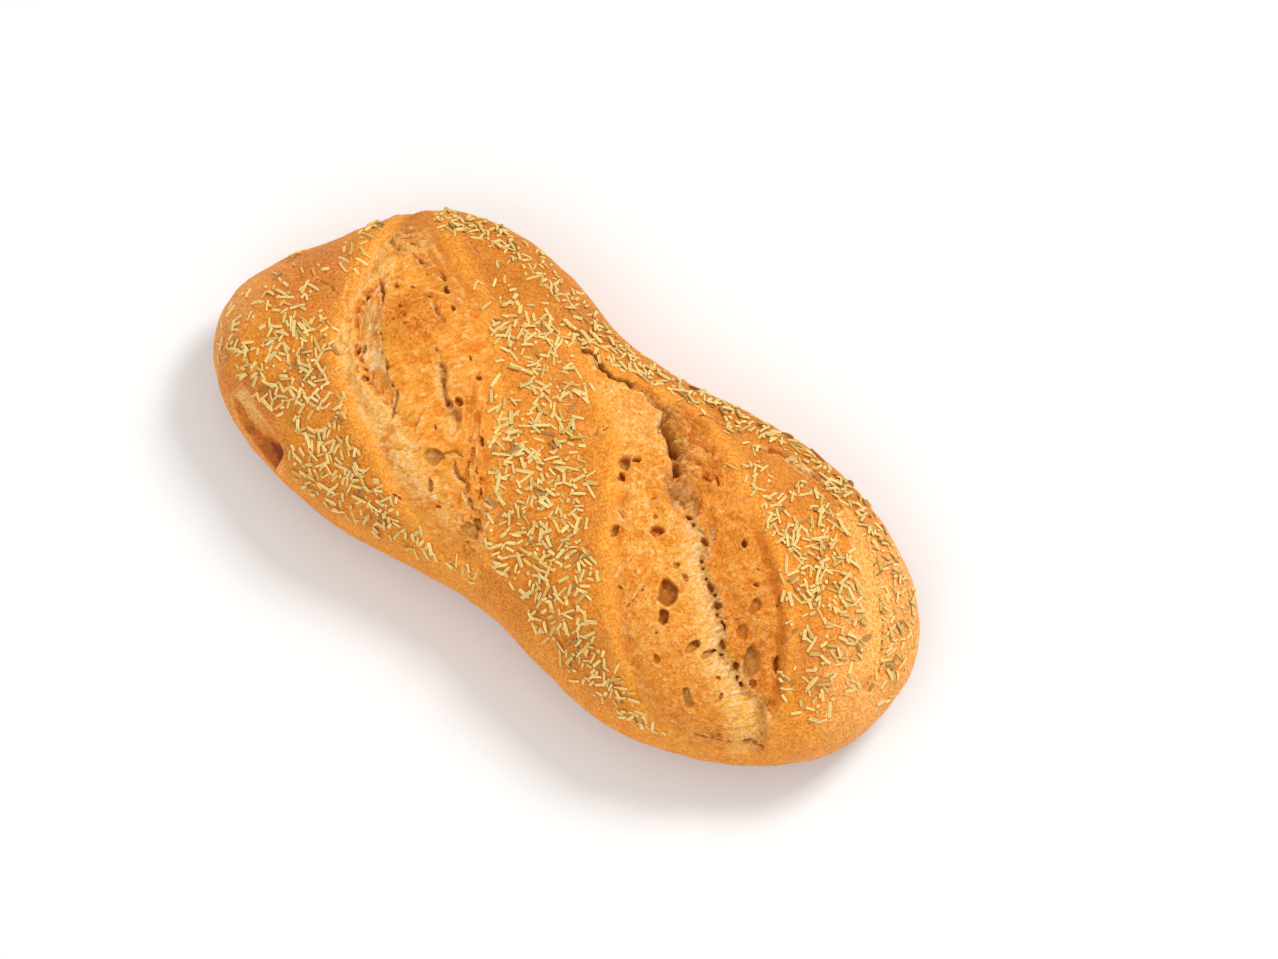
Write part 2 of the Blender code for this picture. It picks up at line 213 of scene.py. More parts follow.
# Burst bubbles: centre, radius along X, radius along Y, turn in degrees, depth, shade of the floor
PITS = (
    (-40, -29, 3.6, 2.7, 20, 2.2, "olive"), (-14, -43, 3.5, 2.2, 0, 1.6, "olive"),
    (-13, -40, 1.5, 2.2, 30, 2.0, "olive"), (-35, -38, 1.4, 2.7, 30, 1.6, "olive"),
    (-41, -14, 5.6, 2.9, -62, 2.6, "cream"), (-46, -10, 2.4, 1.4, -62, 2.8, "cream"),
    (-44, -7, 1.8, 1.4, -20, 2.6, "rust"),
    (-78, 30, 1.4, 1.1, 0, 1.6, "brown"), (-74, 27, 1.1, 2.2, 40, 2.2, "brown"),
    (-67, 22, 1.3, 1.0, 0, 1.4, "brown"), (-80, 31, 0.9, 0.8, 0, 1.2, "olive"),
    (-88, -12, 0.9, 1.8, 0, 1.8, "rust"), (-79, -19, 1.2, 1.1, 0, 2.0, "rust"),
    (-28, -15, 0.9, 2.0, 30, 1.8, "brown"), (-43, 4, 1.0, 0.8, 0, 1.6, "brown"),
    (-50, 9, 0.8, 0.6, 0, 1.2, "brown"), (-45, -48, 0.9, 0.7, 0, 1.2, "brown"),
    (-29, -42, 1.1, 0.7, 20, 1.3, "brown"), (-45, -20, 0.7, 0.7, 0, 1.0, "brown"),
    (-27, -24, 0.4, 2.0, 33, 1.3, "brown"), (-23, -24, 0.4, 1.5, 33, 1.1, "rust"),
    (-23, -31, 0.7, 2.0, 33, 1.5, "olive"), (-18, -31, 0.5, 2.6, 33, 1.4, "brown"),
    (-20, -26, 0.4, 1.7, 33, 1.0, "rust"), (-29, -20, 0.4, 1.6, 33, 1.0, "rust"),
    (-86, -10, 1.3, 1.8, 20, 1.6, "olive"), (-98, 8, 1.1, 1.5, 20, 2.0, "brown"),
    (-91, 17, 0.8, 0.7, 0, 1.2, "rust"), (-85, 20, 1.1, 0.7, 10, 1.0, "rust"),
    (-84, 11, 0.9, 0.7, 0, 1.2, "rust"), (-80, 8, 0.8, 1.2, 0, 1.2, "rust"),
    (-77, 6, 0.8, 0.6, 0, 1.0, "rust"), (-83, 5, 0.7, 0.7, 0, 1.0, "rust"),
    (20, 9, 2.0, 2.8, 20, 3.2, "olive"), (23, 12, 1.0, 1.9, -40, 2.2, "brown"),
    (22, 4, 1.6, 1.2, 0, 2.6, "brown"), (32, -14, 1.4, 2.6, 10, 2.8, "olive"),
    (45, -6, 2.9, 1.9, 35, 3.0, "rust"), (41, -2, 1.0, 0.8, 0, 1.2, "rust"),
    (61, -22, 3.3, 5.2, 30, 4.0, "brown"), (65, -30, 2.0, 2.5, 30, 3.6, "brown"),
    (80, -33, 3.6, 1.6, 68, 2.6, "olive"), (86, -32, 3.4, 1.2, 60, 2.2, "olive"),
    (71, -43, 1.1, 1.7, 30, 1.5, "rust"), (88, -48, 1.6, 3.8, 55, 2.0, "olive"),
    (74, 9, 1.0, 1.9, 30, 2.6, "brown"), (86, -1, 1.1, 0.8, 0, 1.4, "rust"),
    (90, -8, 1.8, 3.1, 20, 1.8, "slope_deep"), (92, -18, 2.2, 3.0, 20, 1.6, "slope_deep"),
    (101, -25, 3.2, 6.4, 28, 2.6, "olive"), (106, -31, 1.4, 1.8, 20, 1.6, "rust"),
    (109, -20, 1.0, 3.4, 25, 2.4, "brown"), (48, 22, 1.6, 1.2, 0, 1.4, "rust"),
    (52, 24, 0.8, 2.3, 30, 2.0, "brown"), (58, 5, 1.6, 1.2, 0, 1.0, "crumb"),
    (104, -52, 2.2, 1.0, 50, 1.6, "olive"), (98, -41, 0.8, 1.6, 30, 1.2, "rust"),
    (58, -12, 1.6, 1.2, 30, 1.4, "olive"),
    (63, -14, 0.8, 1.8, 50, 1.0, "rust"), (97, -3, 0.7, 0.7, 0, 1.0, "rust"),
    (83, 4, 0.7, 0.6, 0, 1.0, "rust"), (66, -36, 0.7, 0.5, 0, 0.8, "rust"),
    (94, -36, 0.9, 0.6, 20, 1.0, "brown"), (46, -30, 0.7, 0.6, 0, 0.8, "rust"),
)

# Fine cracks of the crust: path, depth, half width
CRACKS = (
    (((-103, 35), (-97, 40)), 1.0, 0.4),
    (((-102, 34), (-94, 37)), 0.9, 0.35),
    (((-95, 32), (-86, 32)), 0.9, 0.4),
    (((-84, 51), (-74, 47)), 0.9, 0.35),
    (((26, 42), (31, 44), (37, 45), (43, 46), (49, 46)), 1.0, 0.4),
    (((4, 9), (5, 12), (7, 17)), 0.9, 0.35),
    (((36, 1), (38, 5)), 0.9, 0.35),
    (((28, -7), (30, -8), (32, -9)), 0.8, 0.3),
    (((53, -25), (52, -29), (52, -36)), 0.9, 0.35),
    (((-39, 46), (-31, 48), (-28, 48), (-23, 44), (-19, 42)), 0.8, 0.35),
    (((82, -18), (89, -14)), 0.8, 0.35),
    (((-46, -48), (-42, -48)), 0.9, 0.4),
    (((-119, 4), (-113, 5), (-108, 3)), 0.9, 0.5),
    (((55, 45), (62, 47)), 1.0, 0.5),
    (((69, 48), (76, 49), (88, 48), (96, 45), (105, 41)), 1.3, 0.45),
    (((108, 39), (113, 36), (117, 33), (120, 29)), 1.2, 0.45),
    (((124, 25), (127, 23), (132, 17), (135, 12), (139, 7), (141, 2)), 1.7, 0.5),
    (((96, -57), (104, -54), (111, -51)), 0.7, 0.3),
    (((113, -50), (117, -48), (124, -46)), 1.4, 0.45),
)
RIGHT_FOLD = ((148, 10), (143, 6), (141, -2), (138, -11), (137, -18))
TORN_SLOT = ((60, 48), (64, 49), (69, 49))
TORN_SLOT_DEPTH = 2.6
TORN_SLOT_HALF_WIDTH = 1.2
TORN_STRANDS = ((67, 50), (72, 49), (79, 49))
FLAKES = (
    # loose scraps of crust at the far side: place, length, width, turn in degrees, lift
    (23, 52, 9.0, 5.0, -12, 1.6), (14, 51, 6.0, 3.0, -4, 1.2),
)

# Torn pocket low on the near side of the left end
POCKET_PATH = ((-124, -46), (-113, -52), (-102, -56), (-93, -60))
POCKET_DEPTH = 4.5
POCKET_HALF_WIDTH = 3.6

BARE_STRIP = ((98, 44), (113, 33), (123, 22), (131, 13), (137, 5))
BARE_STRIP_HALF_WIDTH = 3.0

# Where the needles fell: centre, radius along X, radius along Y, how many were tried
NEEDLE_PATCHES = (
    (-128, 4, 9, 9, 18), (-122, -12, 12, 10, 60), (-106, -20, 13, 10, 92), (-110, -35, 16, 9, 100),
    (-92, -37, 13, 9, 92), (-74, -50, 13, 8, 106), (-55, -55, 13, 7, 84), (-40, -56, 10, 7, 66),
    (-25, -57, 9, 5, 34), (-11, -54, 9, 5, 34), (-137, -22, 7, 11, 20), (-113, 22, 7, 8, 16),
    (-128, -34, 9, 7, 30), (-84, -59, 9, 5, 42), (-68, -62, 13, 3, 46), (-48, -63, 12, 3, 30),
    (-94, 54, 8, 6, 64), (-78, 58, 10, 6, 62), (-58, 58, 13, 6, 56), (-36, 55, 13, 6, 64),
    (-16, 51, 11, 5, 64), (4, 49, 13, 5, 78), (24, 51, 13, 5, 66), (46, 55, 14, 5, 80),
    (68, 56, 14, 4, 70), (90, 53, 12, 5, 86), (108, 45, 10, 5, 70), (122, 38, 8, 5, 46),
    (133, 29, 6, 6, 38), (140, 17, 5, 8, 38), (144, 3, 4, 8, 20), (-60, 42, 11, 7, 8),
    (-46, 37, 9, 7, 22), (-28, 38, 9, 6, 40), (-14, 40, 9, 5, 44), (-50, 28, 8, 8, 32),
    (-38, 31, 10, 8, 40), (-28, 20, 12, 9, 58), (-14, 20, 10, 8, 46), (-24, 4, 11, 9, 34),
    (-8, 2, 11, 9, 66), (-28, -8, 6, 8, 22), (-11, -14, 12, 10, 86), (6, -10, 9, 9, 62),
    (10, -24, 12, 9, 104), (23, -36, 12, 9, 114), (7, -43, 11, 8, 58), (-8, -32, 10, 9, 46),
    (33, -51, 12, 7, 92), (50, -57, 11, 6, 74), (66, -61, 11, 4, 62), (82, -63, 9, 3, 46),
    (59, 35, 7, 4, 20), (71, 29, 7, 3, 24), (83, 24, 8, 5, 48), (95, 24, 9, 8, 104),
    (99, 10, 8, 7, 40), (111, 22, 9, 7, 54), (110, 10, 9, 6, 50), (113, -6, 8, 7, 18),
    (124, 20, 8, 7, 38), (124, 6, 8, 7, 40), (126, -9, 8, 8, 40), (124, -22, 8, 6, 26),
    (113, -22, 4, 5, 6), (99, 37, 11, 5, 64), (82, 40, 10, 4, 26), (137, -4, 6, 8, 12),
    (134, 10, 5, 7, 20), (-117, 34, 5, 7, 22), (50, 47, 9, 5, 30),
)
NEEDLE_SEED = 23
NEEDLE_SHARE = 0.82          # share of those that is tried here
NEEDLE_SPACING = 1.7         # within this distance of another's middle a needle lies on top of it
NEEDLE_CLASH = 0.9           # least distance between two needles' middles
NEEDLE_BLOOM_OVERLAP = 0.2   # how far into a bloom a needle's middle may lie
BARE_BAND = 2.4              # width in plan of the bare wall on the near side
FAR_BAND = 0.3               # the same on the far side, where needles reach further down
NEEDLE_LENGTH = (3.5, 1.6, 1.2, 8.5)     # mean, spread, least and greatest
NEEDLE_WIDTH = (1.1, 0.2, 0.65, 1.6)
NEEDLE_FARTHEST = 150.0      # needles lie within this distance of the loaf's middle along X
NEEDLE_FOOTING = 0.8         # share of a needle's length between the two places where it rests
NEEDLE_LEAST_SLOPE = 0.3     # upward part of the crust's direction that a needle still holds on
NEEDLE_TURN_SPREAD = 0.75    # in radians, about the direction that a place's needles share
NEEDLE_ROLL_SPREAD = 0.25
NEEDLE_LIFT = 0.35           # height of its middle over the crust, as a share of its thickness
NEEDLE_STACK = 0.6           # how much higher it lies on top of another
NEEDLE_KINDS = {"straw": 0.83, "green": 0.12, "grey": 0.05}

# Colours, as seen in daylight: red, green and blue from 0 to 255
COLORS = {
    "crust": (222, 136, 42),
    "rose": (214, 126, 54),
    "gold": (232, 144, 44),
    "pale": (252, 174, 88),
    "far": (210, 126, 36),
    "toast": (204, 120, 32),
    "wall": (236, 148, 46),
    "under": (188, 114, 48),
    "bloom": (245, 160, 54),
    "bloom_pale": (252, 190, 96),
    "bloom_deep": (230, 134, 34),
    "slope": (226, 136, 44),
    "slope_deep": (198, 114, 28),
    "cream": (240, 188, 106),
    "crumb": (244, 206, 134),
    "olive": (196, 138, 56),
    "rust": (204, 104, 16),
    "brown": (170, 94, 20),
    "dark": (120, 30, 2),
    # The needles' main tones hold a painted highlight for their tops; their _side tones are painted shade
    # for their sides and undersides.
    "straw": (255, 236, 160),
    "straw_side": (214, 156, 58),
    "green": (244, 210, 120),
    "green_side": (186, 138, 52),
    "grey": (206, 156, 90),
    "grey_side": (146, 96, 44),
}

# How the shaders vary those colours: stops of a ramp, each a factor on red, green and blue
SKIN_STOPS = (
    (0.34, (0.86, 0.66, 0.44)), (0.43, (0.95, 0.86, 0.74)), (0.50, (1.0, 1.0, 1.0)),
    (0.57, (1.04, 1.13, 1.30)), (0.66, (1.09, 1.34, 1.9)),
)
DOUGH_STOPS = (
    (0.34, (0.87, 0.66, 0.22)), (0.43, (0.96, 0.86, 0.54)), (0.50, (1.0, 1.0, 1.0)),
    (0.57, (1.03, 1.13, 1.8)), (0.66, (1.06, 1.32, 3.0)),
)
NEEDLE_STOPS = ((0.3, (0.86, 0.82, 0.74)), (0.7, (1.06, 1.08, 1.12)))
SKIN_SCALE = 950.0           # humps of a noise per metre
CRUMB_SCALE = 800.0
NEEDLE_SCALE = 1400.0
CRUST_RELIEF = 0.0011        # metres
NEEDLE_RELIEF = 0.0002

# Mesh of the crust, which is finer within these distances of these paths
NEAR_PATHS = (
    (TEAR_PATH, 5.0), (END_CLIFF, 4.0), (POCKET_PATH, 6.0), (BULGE_CREASE, 3.0), (TORN_SLOT, 4.0),
)
BLOOM_MARGIN = 5.0           # the mesh is also finer this far round the blooms
CREVICE_MARGIN = 1.6
CRACK_MARGIN = 1.4
BLOOM_LEVEL = 30.0           # and above this height there
TEAR_LEVEL = 22.0
RINGS = 260
SEGMENTS = 240
TOP_DENSITY = 0.72           # spacing of the crust's points over the top, next to an even one

# Camera, floor and light
CAMERA_AZIMUTH = 34.9
CAMERA_ELEVATION = 75.0
CAMERA_DISTANCE = 1.25
CAMERA_TARGET = (0.0180, 0.0214, 0.0)
CAMERA_LENS = 90.0
SENSOR_WIDTH = 36.0
FLOOR_SIZE = 6.0
FLOOR_COLOR = (0.93, 0.93, 0.92, 1.0)
SKY_STRENGTH = 0.62
LIGHTS = (
    # name, place towards the photograph's right, its far side and up, size, watts
    ("key", (0.70, 0.55, 1.15), 0.4, 10.5),
    ("fill", (-0.6, -0.8, 1.0), 1.2, 5.4),
)

LATTICE_SIZE = 48
LATTICE = np.random.default_rng(5).uniform(-1.0, 1.0, (LATTICE_SIZE,) * 3)


def to_linear(color):
    """Turn a daylight colour from 0 to 255 into the shader's linear values."""
    share = np.asarray(color, float) / 255.0
    return np.where(share <= 0.04045, share / 12.92, ((share + 0.055) / 1.055) ** 2.4)


TONE = {name: to_linear(color) for name, color in COLORS.items()}


def ease(low, high, value):
    """Go smoothly from 0 at low to 1 at high."""
    t = np.clip((value - low) / (high - low), 0.0, 1.0)
    return t * t * (3.0 - 2.0 * t)


def band(value, low, full, still, high):
    """Rise from 0 at low to 1 at full, and fall again from 1 at still to 0 at high."""
    return ease(low, full, value) * ease(high, still, value)


def bell(value, width):
    """Fall off on both sides of 0 by a bell curve."""
    return np.exp(-(value / width) ** 2)


def turned(x, y, degrees):
    """How far a place lies along a direction in plan, and how far to its left."""
    turn = math.radians(degrees)
    run = x * math.cos(turn) + y * math.sin(turn)
    across = y * math.cos(turn) - x * math.sin(turn)
    return run, across


def noise(points, cell, seed):
    """Smooth noise from -1 to 1, with humps about one cell across."""
    spot = points / cell + seed * 7.31
    base = np.floor(spot).astype(int)
    part = spot - base
    part = part * part * (3.0 - 2.0 * part)
    total = np.zeros(len(points))
    for corner in np.ndindex(2, 2, 2):
        share = np.ones(len(points))
        for axis in range(3):
            share = share * (part[:, axis] if corner[axis] else 1.0 - part[:, axis])
        at = (base + corner) % LATTICE_SIZE
        total += share * LATTICE[at[:, 0], at[:, 1], at[:, 2]]
    return total


def wander(points, layers, seeds):
    """A coarse and a fine noise laid over each other, each with its own strength, size and seed."""
    (strong, wide), (weak, narrow) = layers
    return strong * noise(points, wide, seeds[0]) + weak * noise(points, narrow, seeds[1])


def fractal(points, cell, seed, octaves=3):
    """Noise of several sizes laid over each other."""
    total = np.zeros(len(points))
    strength = 1.0
    for octave in range(octaves):
        total += strength * noise(points, cell / 2.0**octave, seed + octave)
        strength *= 0.5
    return total


def ridged(points, cell, seed, octaves=3):
    """Noise with sharp crests, like strands of torn dough."""
    total = np.zeros(len(points))
    strength = 1.0
    for octave in range(octaves):
        total += strength * (0.45 - 2.0 * np.abs(noise(points, cell / 2.0**octave, seed + octave)))
        strength *= 0.5
    return total


def along(points, degrees, length, width):
    """Stretch the space of a noise, so that its humps become streaks at an angle in plan."""
    run, across = turned(points[:, 0], points[:, 1], degrees)
    return np.stack([run / length, across / width, points[:, 2] / width], axis=1)


def closed_curve(points, steps):
    """Round off a closed outline with a Catmull-Rom curve."""
    current = np.array(points, float)
    before = np.roll(current, 1, axis=0)
    after = np.roll(current, -1, axis=0)
    beyond = np.roll(current, -2, axis=0)
    curve = []
    for step in range(steps):
        t = step / steps
        bend = 2 * before - 5 * current + 4 * after - beyond
        twist = 3 * current - before - 3 * after + beyond
        curve.append(0.5 * (2 * current + (after - before) * t + bend * t**2 + twist * t**3))
    return np.stack(curve, axis=1).reshape(-1, 2)


def path_distance(path, x, y):
    """Give each point's distance to a path, its side (+1 left of travel) and its place along it."""
    path = np.array(path, float)
    lengths = np.linalg.norm(np.diff(path, axis=0), axis=1)
    total = lengths.sum()
    best = np.full(x.shape, 1e9)
    side = np.ones(x.shape)
    place = np.zeros(x.shape)
    done = 0.0
    for start, end, length in zip(path[:-1], path[1:], lengths):
        step = (end - start) / length
        run = np.clip((x - start[0]) * step[0] + (y - start[1]) * step[1], 0.0, length)
        gap_x = x - start[0] - run * step[0]
        gap_y = y - start[1] - run * step[1]
        gap = np.hypot(gap_x, gap_y)
        nearer = gap < best
        best = np.where(nearer, gap, best)
        side = np.where(nearer, np.sign(step[0] * gap_y - step[1] * gap_x + 1e-9), side)
        place = np.where(nearer, (done + run) / total, place)
        done += length
    return best, side, place


def edge_gaps(left, right, x, y):
    """Signed distances to a bloom's left and right edges, both positive inside it."""
    left_gap, left_side, _ = path_distance(left, x, y)
    right_gap, right_side, _ = path_distance(right, x, y)
    return left_gap * left_side, -right_gap * right_side


def inside_between(left, right, x, y):
    """Signed distance to a leaf-shaped bloom between two edges: positive inside it."""
    return np.minimum(*edge_gaps(left, right, x, y))


def bloom_gap(x, y):
    """Signed distance to the edges of the nearer bloom: positive inside it."""
    first = inside_between(BLOOM_1_LEFT, BLOOM_1_RIGHT, x, y)
    second = inside_between(BLOOM_2_LEFT, BLOOM_2_RIGHT, x, y)
    return np.maximum(first, second)


def outline_gap(x, y):
    """Distance to the loaf's outline, and whether its nearest stretch is on the near side."""
    curve = closed_curve(OUTLINE, 8)
    curve = np.vstack([curve, curve[:1]])
    gap, _, place = path_distance(curve, x, y)
    at = curve[np.minimum((place * (len(curve) - 1)).astype(int), len(curve) - 1)]
    return gap, at[..., 1] < 0.0


def plain_loaf(unit):
    """Move points of a unit sphere to the loaf's plain form, without its relief."""
    curve = closed_curve(OUTLINE, 40)
    left = int(np.argmin(curve[:, 0]))
    curve = np.roll(curve, -left, axis=0)
    right = int(np.argmax(curve[:, 0]))
    far = curve[:right + 1]
    near = np.vstack([curve[right:], curve[:1]])[::-1]
    half = LENGTH / 2.0
    turn = np.arccos(np.clip(unit[:, 0], -1.0, 1.0))
    x = np.clip(half * np.cos(turn) * (1.0 + 0.06 * np.sin(turn) ** 2), -half, half)
    far_y = np.interp(x, far[:, 0], far[:, 1])
    near_y = np.interp(x, near[:, 0], near[:, 1])
    centre = (far_y + near_y) / 2.0
    half_width = (far_y - near_y) / 2.0
    end = np.clip(np.abs(x) / half, 0.0, 1.0)
    waist = WAIST_DIP * bell(x - 5.0, 45.0)
    rise = (CROWN - waist - WIDEST_LEVEL) * (1.0 - end**END_DOME) ** 0.5
    drop = UNDERCUT * (1.0 - end**END_UNDERCUT) ** 0.45
    from_top = np.arctan2(unit[:, 1], unit[:, 2])
    turned = from_top * (TOP_DENSITY + (1.0 - TOP_DENSITY) * (from_top / math.pi) ** 2)
    across = np.sin(turned)
    level = np.cos(turned)
    y = centre + half_width * np.sign(across) * np.abs(across) ** TOP_ROUNDNESS
    z_top = WIDEST_LEVEL + rise * np.abs(level)
    z_low = WIDEST_LEVEL - drop * np.abs(level) ** LOW_ROUNDNESS
    z = np.where(level >= 0.0, z_top, z_low)
    return np.stack([x, y, z], axis=1)


def bm_points(bm):
    """Read a bmesh's points as an array."""
    return np.array([vert.co[:] for vert in bm.verts])


def refine(bm, wanted):
    """Split every edge whose two ends are wanted."""
    bm.verts.ensure_lookup_table()
    bm.verts.index_update()
    edges = [edge for edge in bm.edges if wanted[edge.verts[0].index] and wanted[edge.verts[1].index]]
    bmesh.ops.subdivide_edges(bm, edges=edges, cuts=1, use_grid_fill=True)


def near_bloom(plain):
    """Points of the crust that lie in or beside a bloom."""
    return (bloom_gap(plain[:, 0], plain[:, 1]) > -BLOOM_MARGIN) & (plain[:, 2] > BLOOM_LEVEL)


def near_tear(plain):
    """Points of the crust that lie beside a crevice, a crack or a burst bubble."""
    x, y = plain[:, 0], plain[:, 1]
    wanted = np.zeros(len(plain), bool)
    for path, reach in NEAR_PATHS:
        wanted |= path_distance(path, x, y)[0] < reach
    for path, _, left_width, right_width, _ in CREVICES:
        wanted |= path_distance(path, x, y)[0] < max(left_width, right_width) + CREVICE_MARGIN
    for path, _, half_width, *_ in CRACKS + CAVITIES + FOLDS:
        wanted |= path_distance(path, x, y)[0] < half_width + CRACK_MARGIN
    for pit_x, pit_y, radius_x, radius_y, *_ in PITS:
        wanted |= np.hypot(x - pit_x, y - pit_y) < max(radius_x, radius_y) + CRACK_MARGIN
    return wanted & (plain[:, 2] > TEAR_LEVEL)


def crust_sphere():
    """Make the sphere that becomes the crust, with more points where the crust is torn."""
    bm = bmesh.new()
    bmesh.ops.create_uvsphere(bm, u_segments=SEGMENTS, v_segments=RINGS, radius=1.0,
                              matrix=Matrix.Rotation(math.pi / 2.0, 4, "Y"))
    for wants in (near_bloom, near_tear):
        refine(bm, wants(plain_loaf(bm_points(bm))))
    mesh = bpy.data.meshes.new("crust")
    bm.to_mesh(mesh)
    bm.free()
    return mesh


def read_vectors(mesh, kind):
    """Read a mesh's points or normals as an array."""
    values = np.empty(len(mesh.vertices) * 3)
    if kind == "normal":
        mesh.vertex_normals.foreach_get("vector", values)
    else:
        mesh.vertices.foreach_get("co", values)
    return values.reshape(-1, 3)


def write_points(mesh, points):
    """Move a mesh's points."""
    mesh.vertices.foreach_set("co", np.asarray(points, np.float32).ravel())
    mesh.update()


def blend_to(color, mask, tone, strength=1.0):
    """Paint a tone over the colours where a mask says so."""
    share = (np.clip(mask, 0.0, 1.0) * strength)[:, None]
    return color * (1.0 - share) + TONE[tone] * share


def groove(path, left_width, right_width, x, y):
    """Mask, signed distance and fading at the ends of a groove whose two walls differ."""
    gap, side, place = path_distance(path, x, y)
    fade = 0.4 + 0.6 * band(place, 0.0, 0.18, 0.82, 1.0)
    width = np.where(side > 0.0, left_width, right_width) * fade
    return bell(gap, width), gap * side, fade


def oval(centre_x, centre_y, radius_x, radius_y, x, y):
    """A soft oval patch, 1 in its middle."""
    away = ((x - centre_x) / radius_x) ** 2 + ((y - centre_y) / radius_y) ** 2
    return np.exp(-away**2)


class Crust:
    """The crust's relief and colours, worked out together point by point.

    height is how far a point stands out, push moves it sideways, color is its tone, and detail
    says how the shader dresses it: red for torn dough, green for long strands, blue where those
    run down a steep slope.
    """

    def __init__(self, plain, normals):
        self.plain = plain
        self.top = ease(0.1, 0.45, normals[:, 2])
        wobble_x = wander(plain, WOBBLE, (1, 2))
        wobble_y = wander(plain, WOBBLE, (3, 4))
        self.x = plain[:, 0] + wobble_x
        self.y = plain[:, 1] + wobble_y
        fraying = 1.0 - 0.6 * ease(38.0, 50.0, plain[:, 0])
        self.torn_x = self.x + fraying * wander(plain, TORN_WOBBLE, (8, 9))
        self.torn_y = self.y + fraying * wander(plain, TORN_WOBBLE, (10, 12))
        self.smooth_x = plain[:, 0] + 0.35 * wobble_x
        self.smooth_y = plain[:, 1] + 0.35 * wobble_y
        self.height = np.zeros(len(plain))
        self.push = np.zeros((len(plain), 3))
        self.detail = np.zeros((len(plain), 3))
        self.first_left, self.first_right = edge_gaps(BLOOM_1_LEFT, BLOOM_1_RIGHT, self.x, self.y)
        self.second_left, self.second_right = edge_gaps(BLOOM_2_LEFT, BLOOM_2_RIGHT, self.x, self.y)
        self.first_gap = np.minimum(self.first_left, self.first_right)
        self.second_gap = np.minimum(self.second_left, self.second_right)
        self.first = ease(-1.5, 3.0, self.first_gap + 1.5 * noise(plain, 9.0, 6)) * self.top
        self.second = ease(-1.5, 3.0, self.second_gap + 1.5 * noise(plain, 9.0, 7)) * self.top
        self.rough = fractal(plain, 3.2, 37)
        self.ragged = fractal(plain, 1.8, 61)
        self.crumb = ridged(plain, 2.4, 43)
        self.color = self.crust_color(normals)
        self.swell()
        self.bloom_edges()
        self.first_bloom()
        self.trough()
        self.second_bloom()
        self.tear()
        self.folds()
        self.end_cliff()
        self.crevices()
        self.cavities()
        self.pits()
        self.cracks()
        self.right_end()
        self.pocket()

    def tint(self, mask, tone, strength=1.0):
        """Paint a tone over the colours where a mask says so."""
        self.color = blend_to(self.color, mask, tone, strength)

    def strands(self, degrees, length, width, seed, octaves=3):
        """Strands of dough drawn out in a direction in plan."""
        return ridged(along(self.plain, degrees, length, width), 1.0, seed, octaves)

    def patch(self, place):
        """A soft oval patch of the crust, 1 in its middle."""
        return oval(*place, self.x, self.y)

    def reach(self, path):
        """Distance, side and place of the crust's points along a path."""
        return path_distance(path, self.x, self.y)

    def torn_reach(self, path):
        """The same for a path that is more ragged."""
        return path_distance(path, self.torn_x, self.torn_y)

    def crust_color(self, normals):
        """Colours of the baked crust outside the blooms."""
        plain = self.plain
        patches = fractal(plain, 20.0, 11)
        mottle = fractal(plain, 4.5, 14)
        color = np.tile(TONE["crust"], (len(plain), 1))
        rosy = ease(-0.4, 0.6, patches + 0.3 * mottle)
        right_band = ease(70.0, 100.0, plain[:, 0]) * ease(-40.0, -10.0, plain[:, 1])
        left_band = ease(-85.0, -110.0, plain[:, 0] + 0.5 * plain[:, 1])
        color = blend_to(color, rosy * (0.2 + 0.6 * np.maximum(right_band, left_band)), "rose")
        color = blend_to(color, ease(0.1, -0.7, patches), "gold", 0.8)
        far = ease(30.0, 55.0, plain[:, 1])
        color = blend_to(color, far, "far", 0.9)
        side = ease(0.55, 0.15, normals[:, 2])
        color = blend_to(color, side, "wall", 0.8)
        color = blend_to(color, ease(-125.0, -147.0, plain[:, 0]), "pale", 0.6)
        # Paler crust at the right end, with a painted highlight added where that end faces the key light.
        right_tip = ease(112.0, 132.0, plain[:, 0] + 0.3 * plain[:, 1])
        color = blend_to(color, right_tip, "pale", 0.9)
        end = ease(95.0, 125.0, plain[:, 0]) * ease(-10.0, -35.0, plain[:, 1])
        color = blend_to(color, end, "gold", 0.6)
        color = blend_to(color, self.patch(TOAST_PATCH), "toast", 0.8)
        edge = ease(-8.0, -1.0, np.maximum(self.first_gap, self.second_gap))
        color = blend_to(color, edge * self.top, "bloom", 0.7)
        color = blend_to(color, ease(-0.05, -0.6, normals[:, 2]), "under")
        shade = 1.03 + 0.10 * mottle + 0.07 * fractal(plain, 1.6, 17, 2)
        return color * shade[:, None]

    def swell(self):
        """Low uneven swellings of the hand-shaped dough, and a fine skin."""
        x, y = self.plain[:, 0], self.plain[:, 1]
        broad = 0.7 * np.sin(x / 13.0 + 0.6) * np.sin(y / 11.0 + 1.1)
        fine = 0.35 * np.sin((x + y) / 6.1 + 0.4) * np.sin((x - y) / 7.3)
        self.height += (broad + fine) * self.top
        self.height += 0.28 * fractal(self.plain, 7.0, 21) + 0.07 * fractal(self.plain, 2.2, 25, 2)
        for centre_x, centre_y, radius_x, radius_y, rise in DOMES:
            away = ((x - centre_x) / radius_x) ** 2 + ((y - centre_y) / radius_y) ** 2
            self.height += rise * np.exp(-away) * self.top

    def bloom_edges(self):
        """Where the slashes were cut the crust stands up a little, and the dough inside dips."""
        for gap in (self.first_gap, self.second_gap):
            self.height -= EDGE_DIP * bell(gap - 2.0, 3.5) * self.top
            self.height += EDGE_RISE * bell(gap + 2.0, 2.2) * self.top

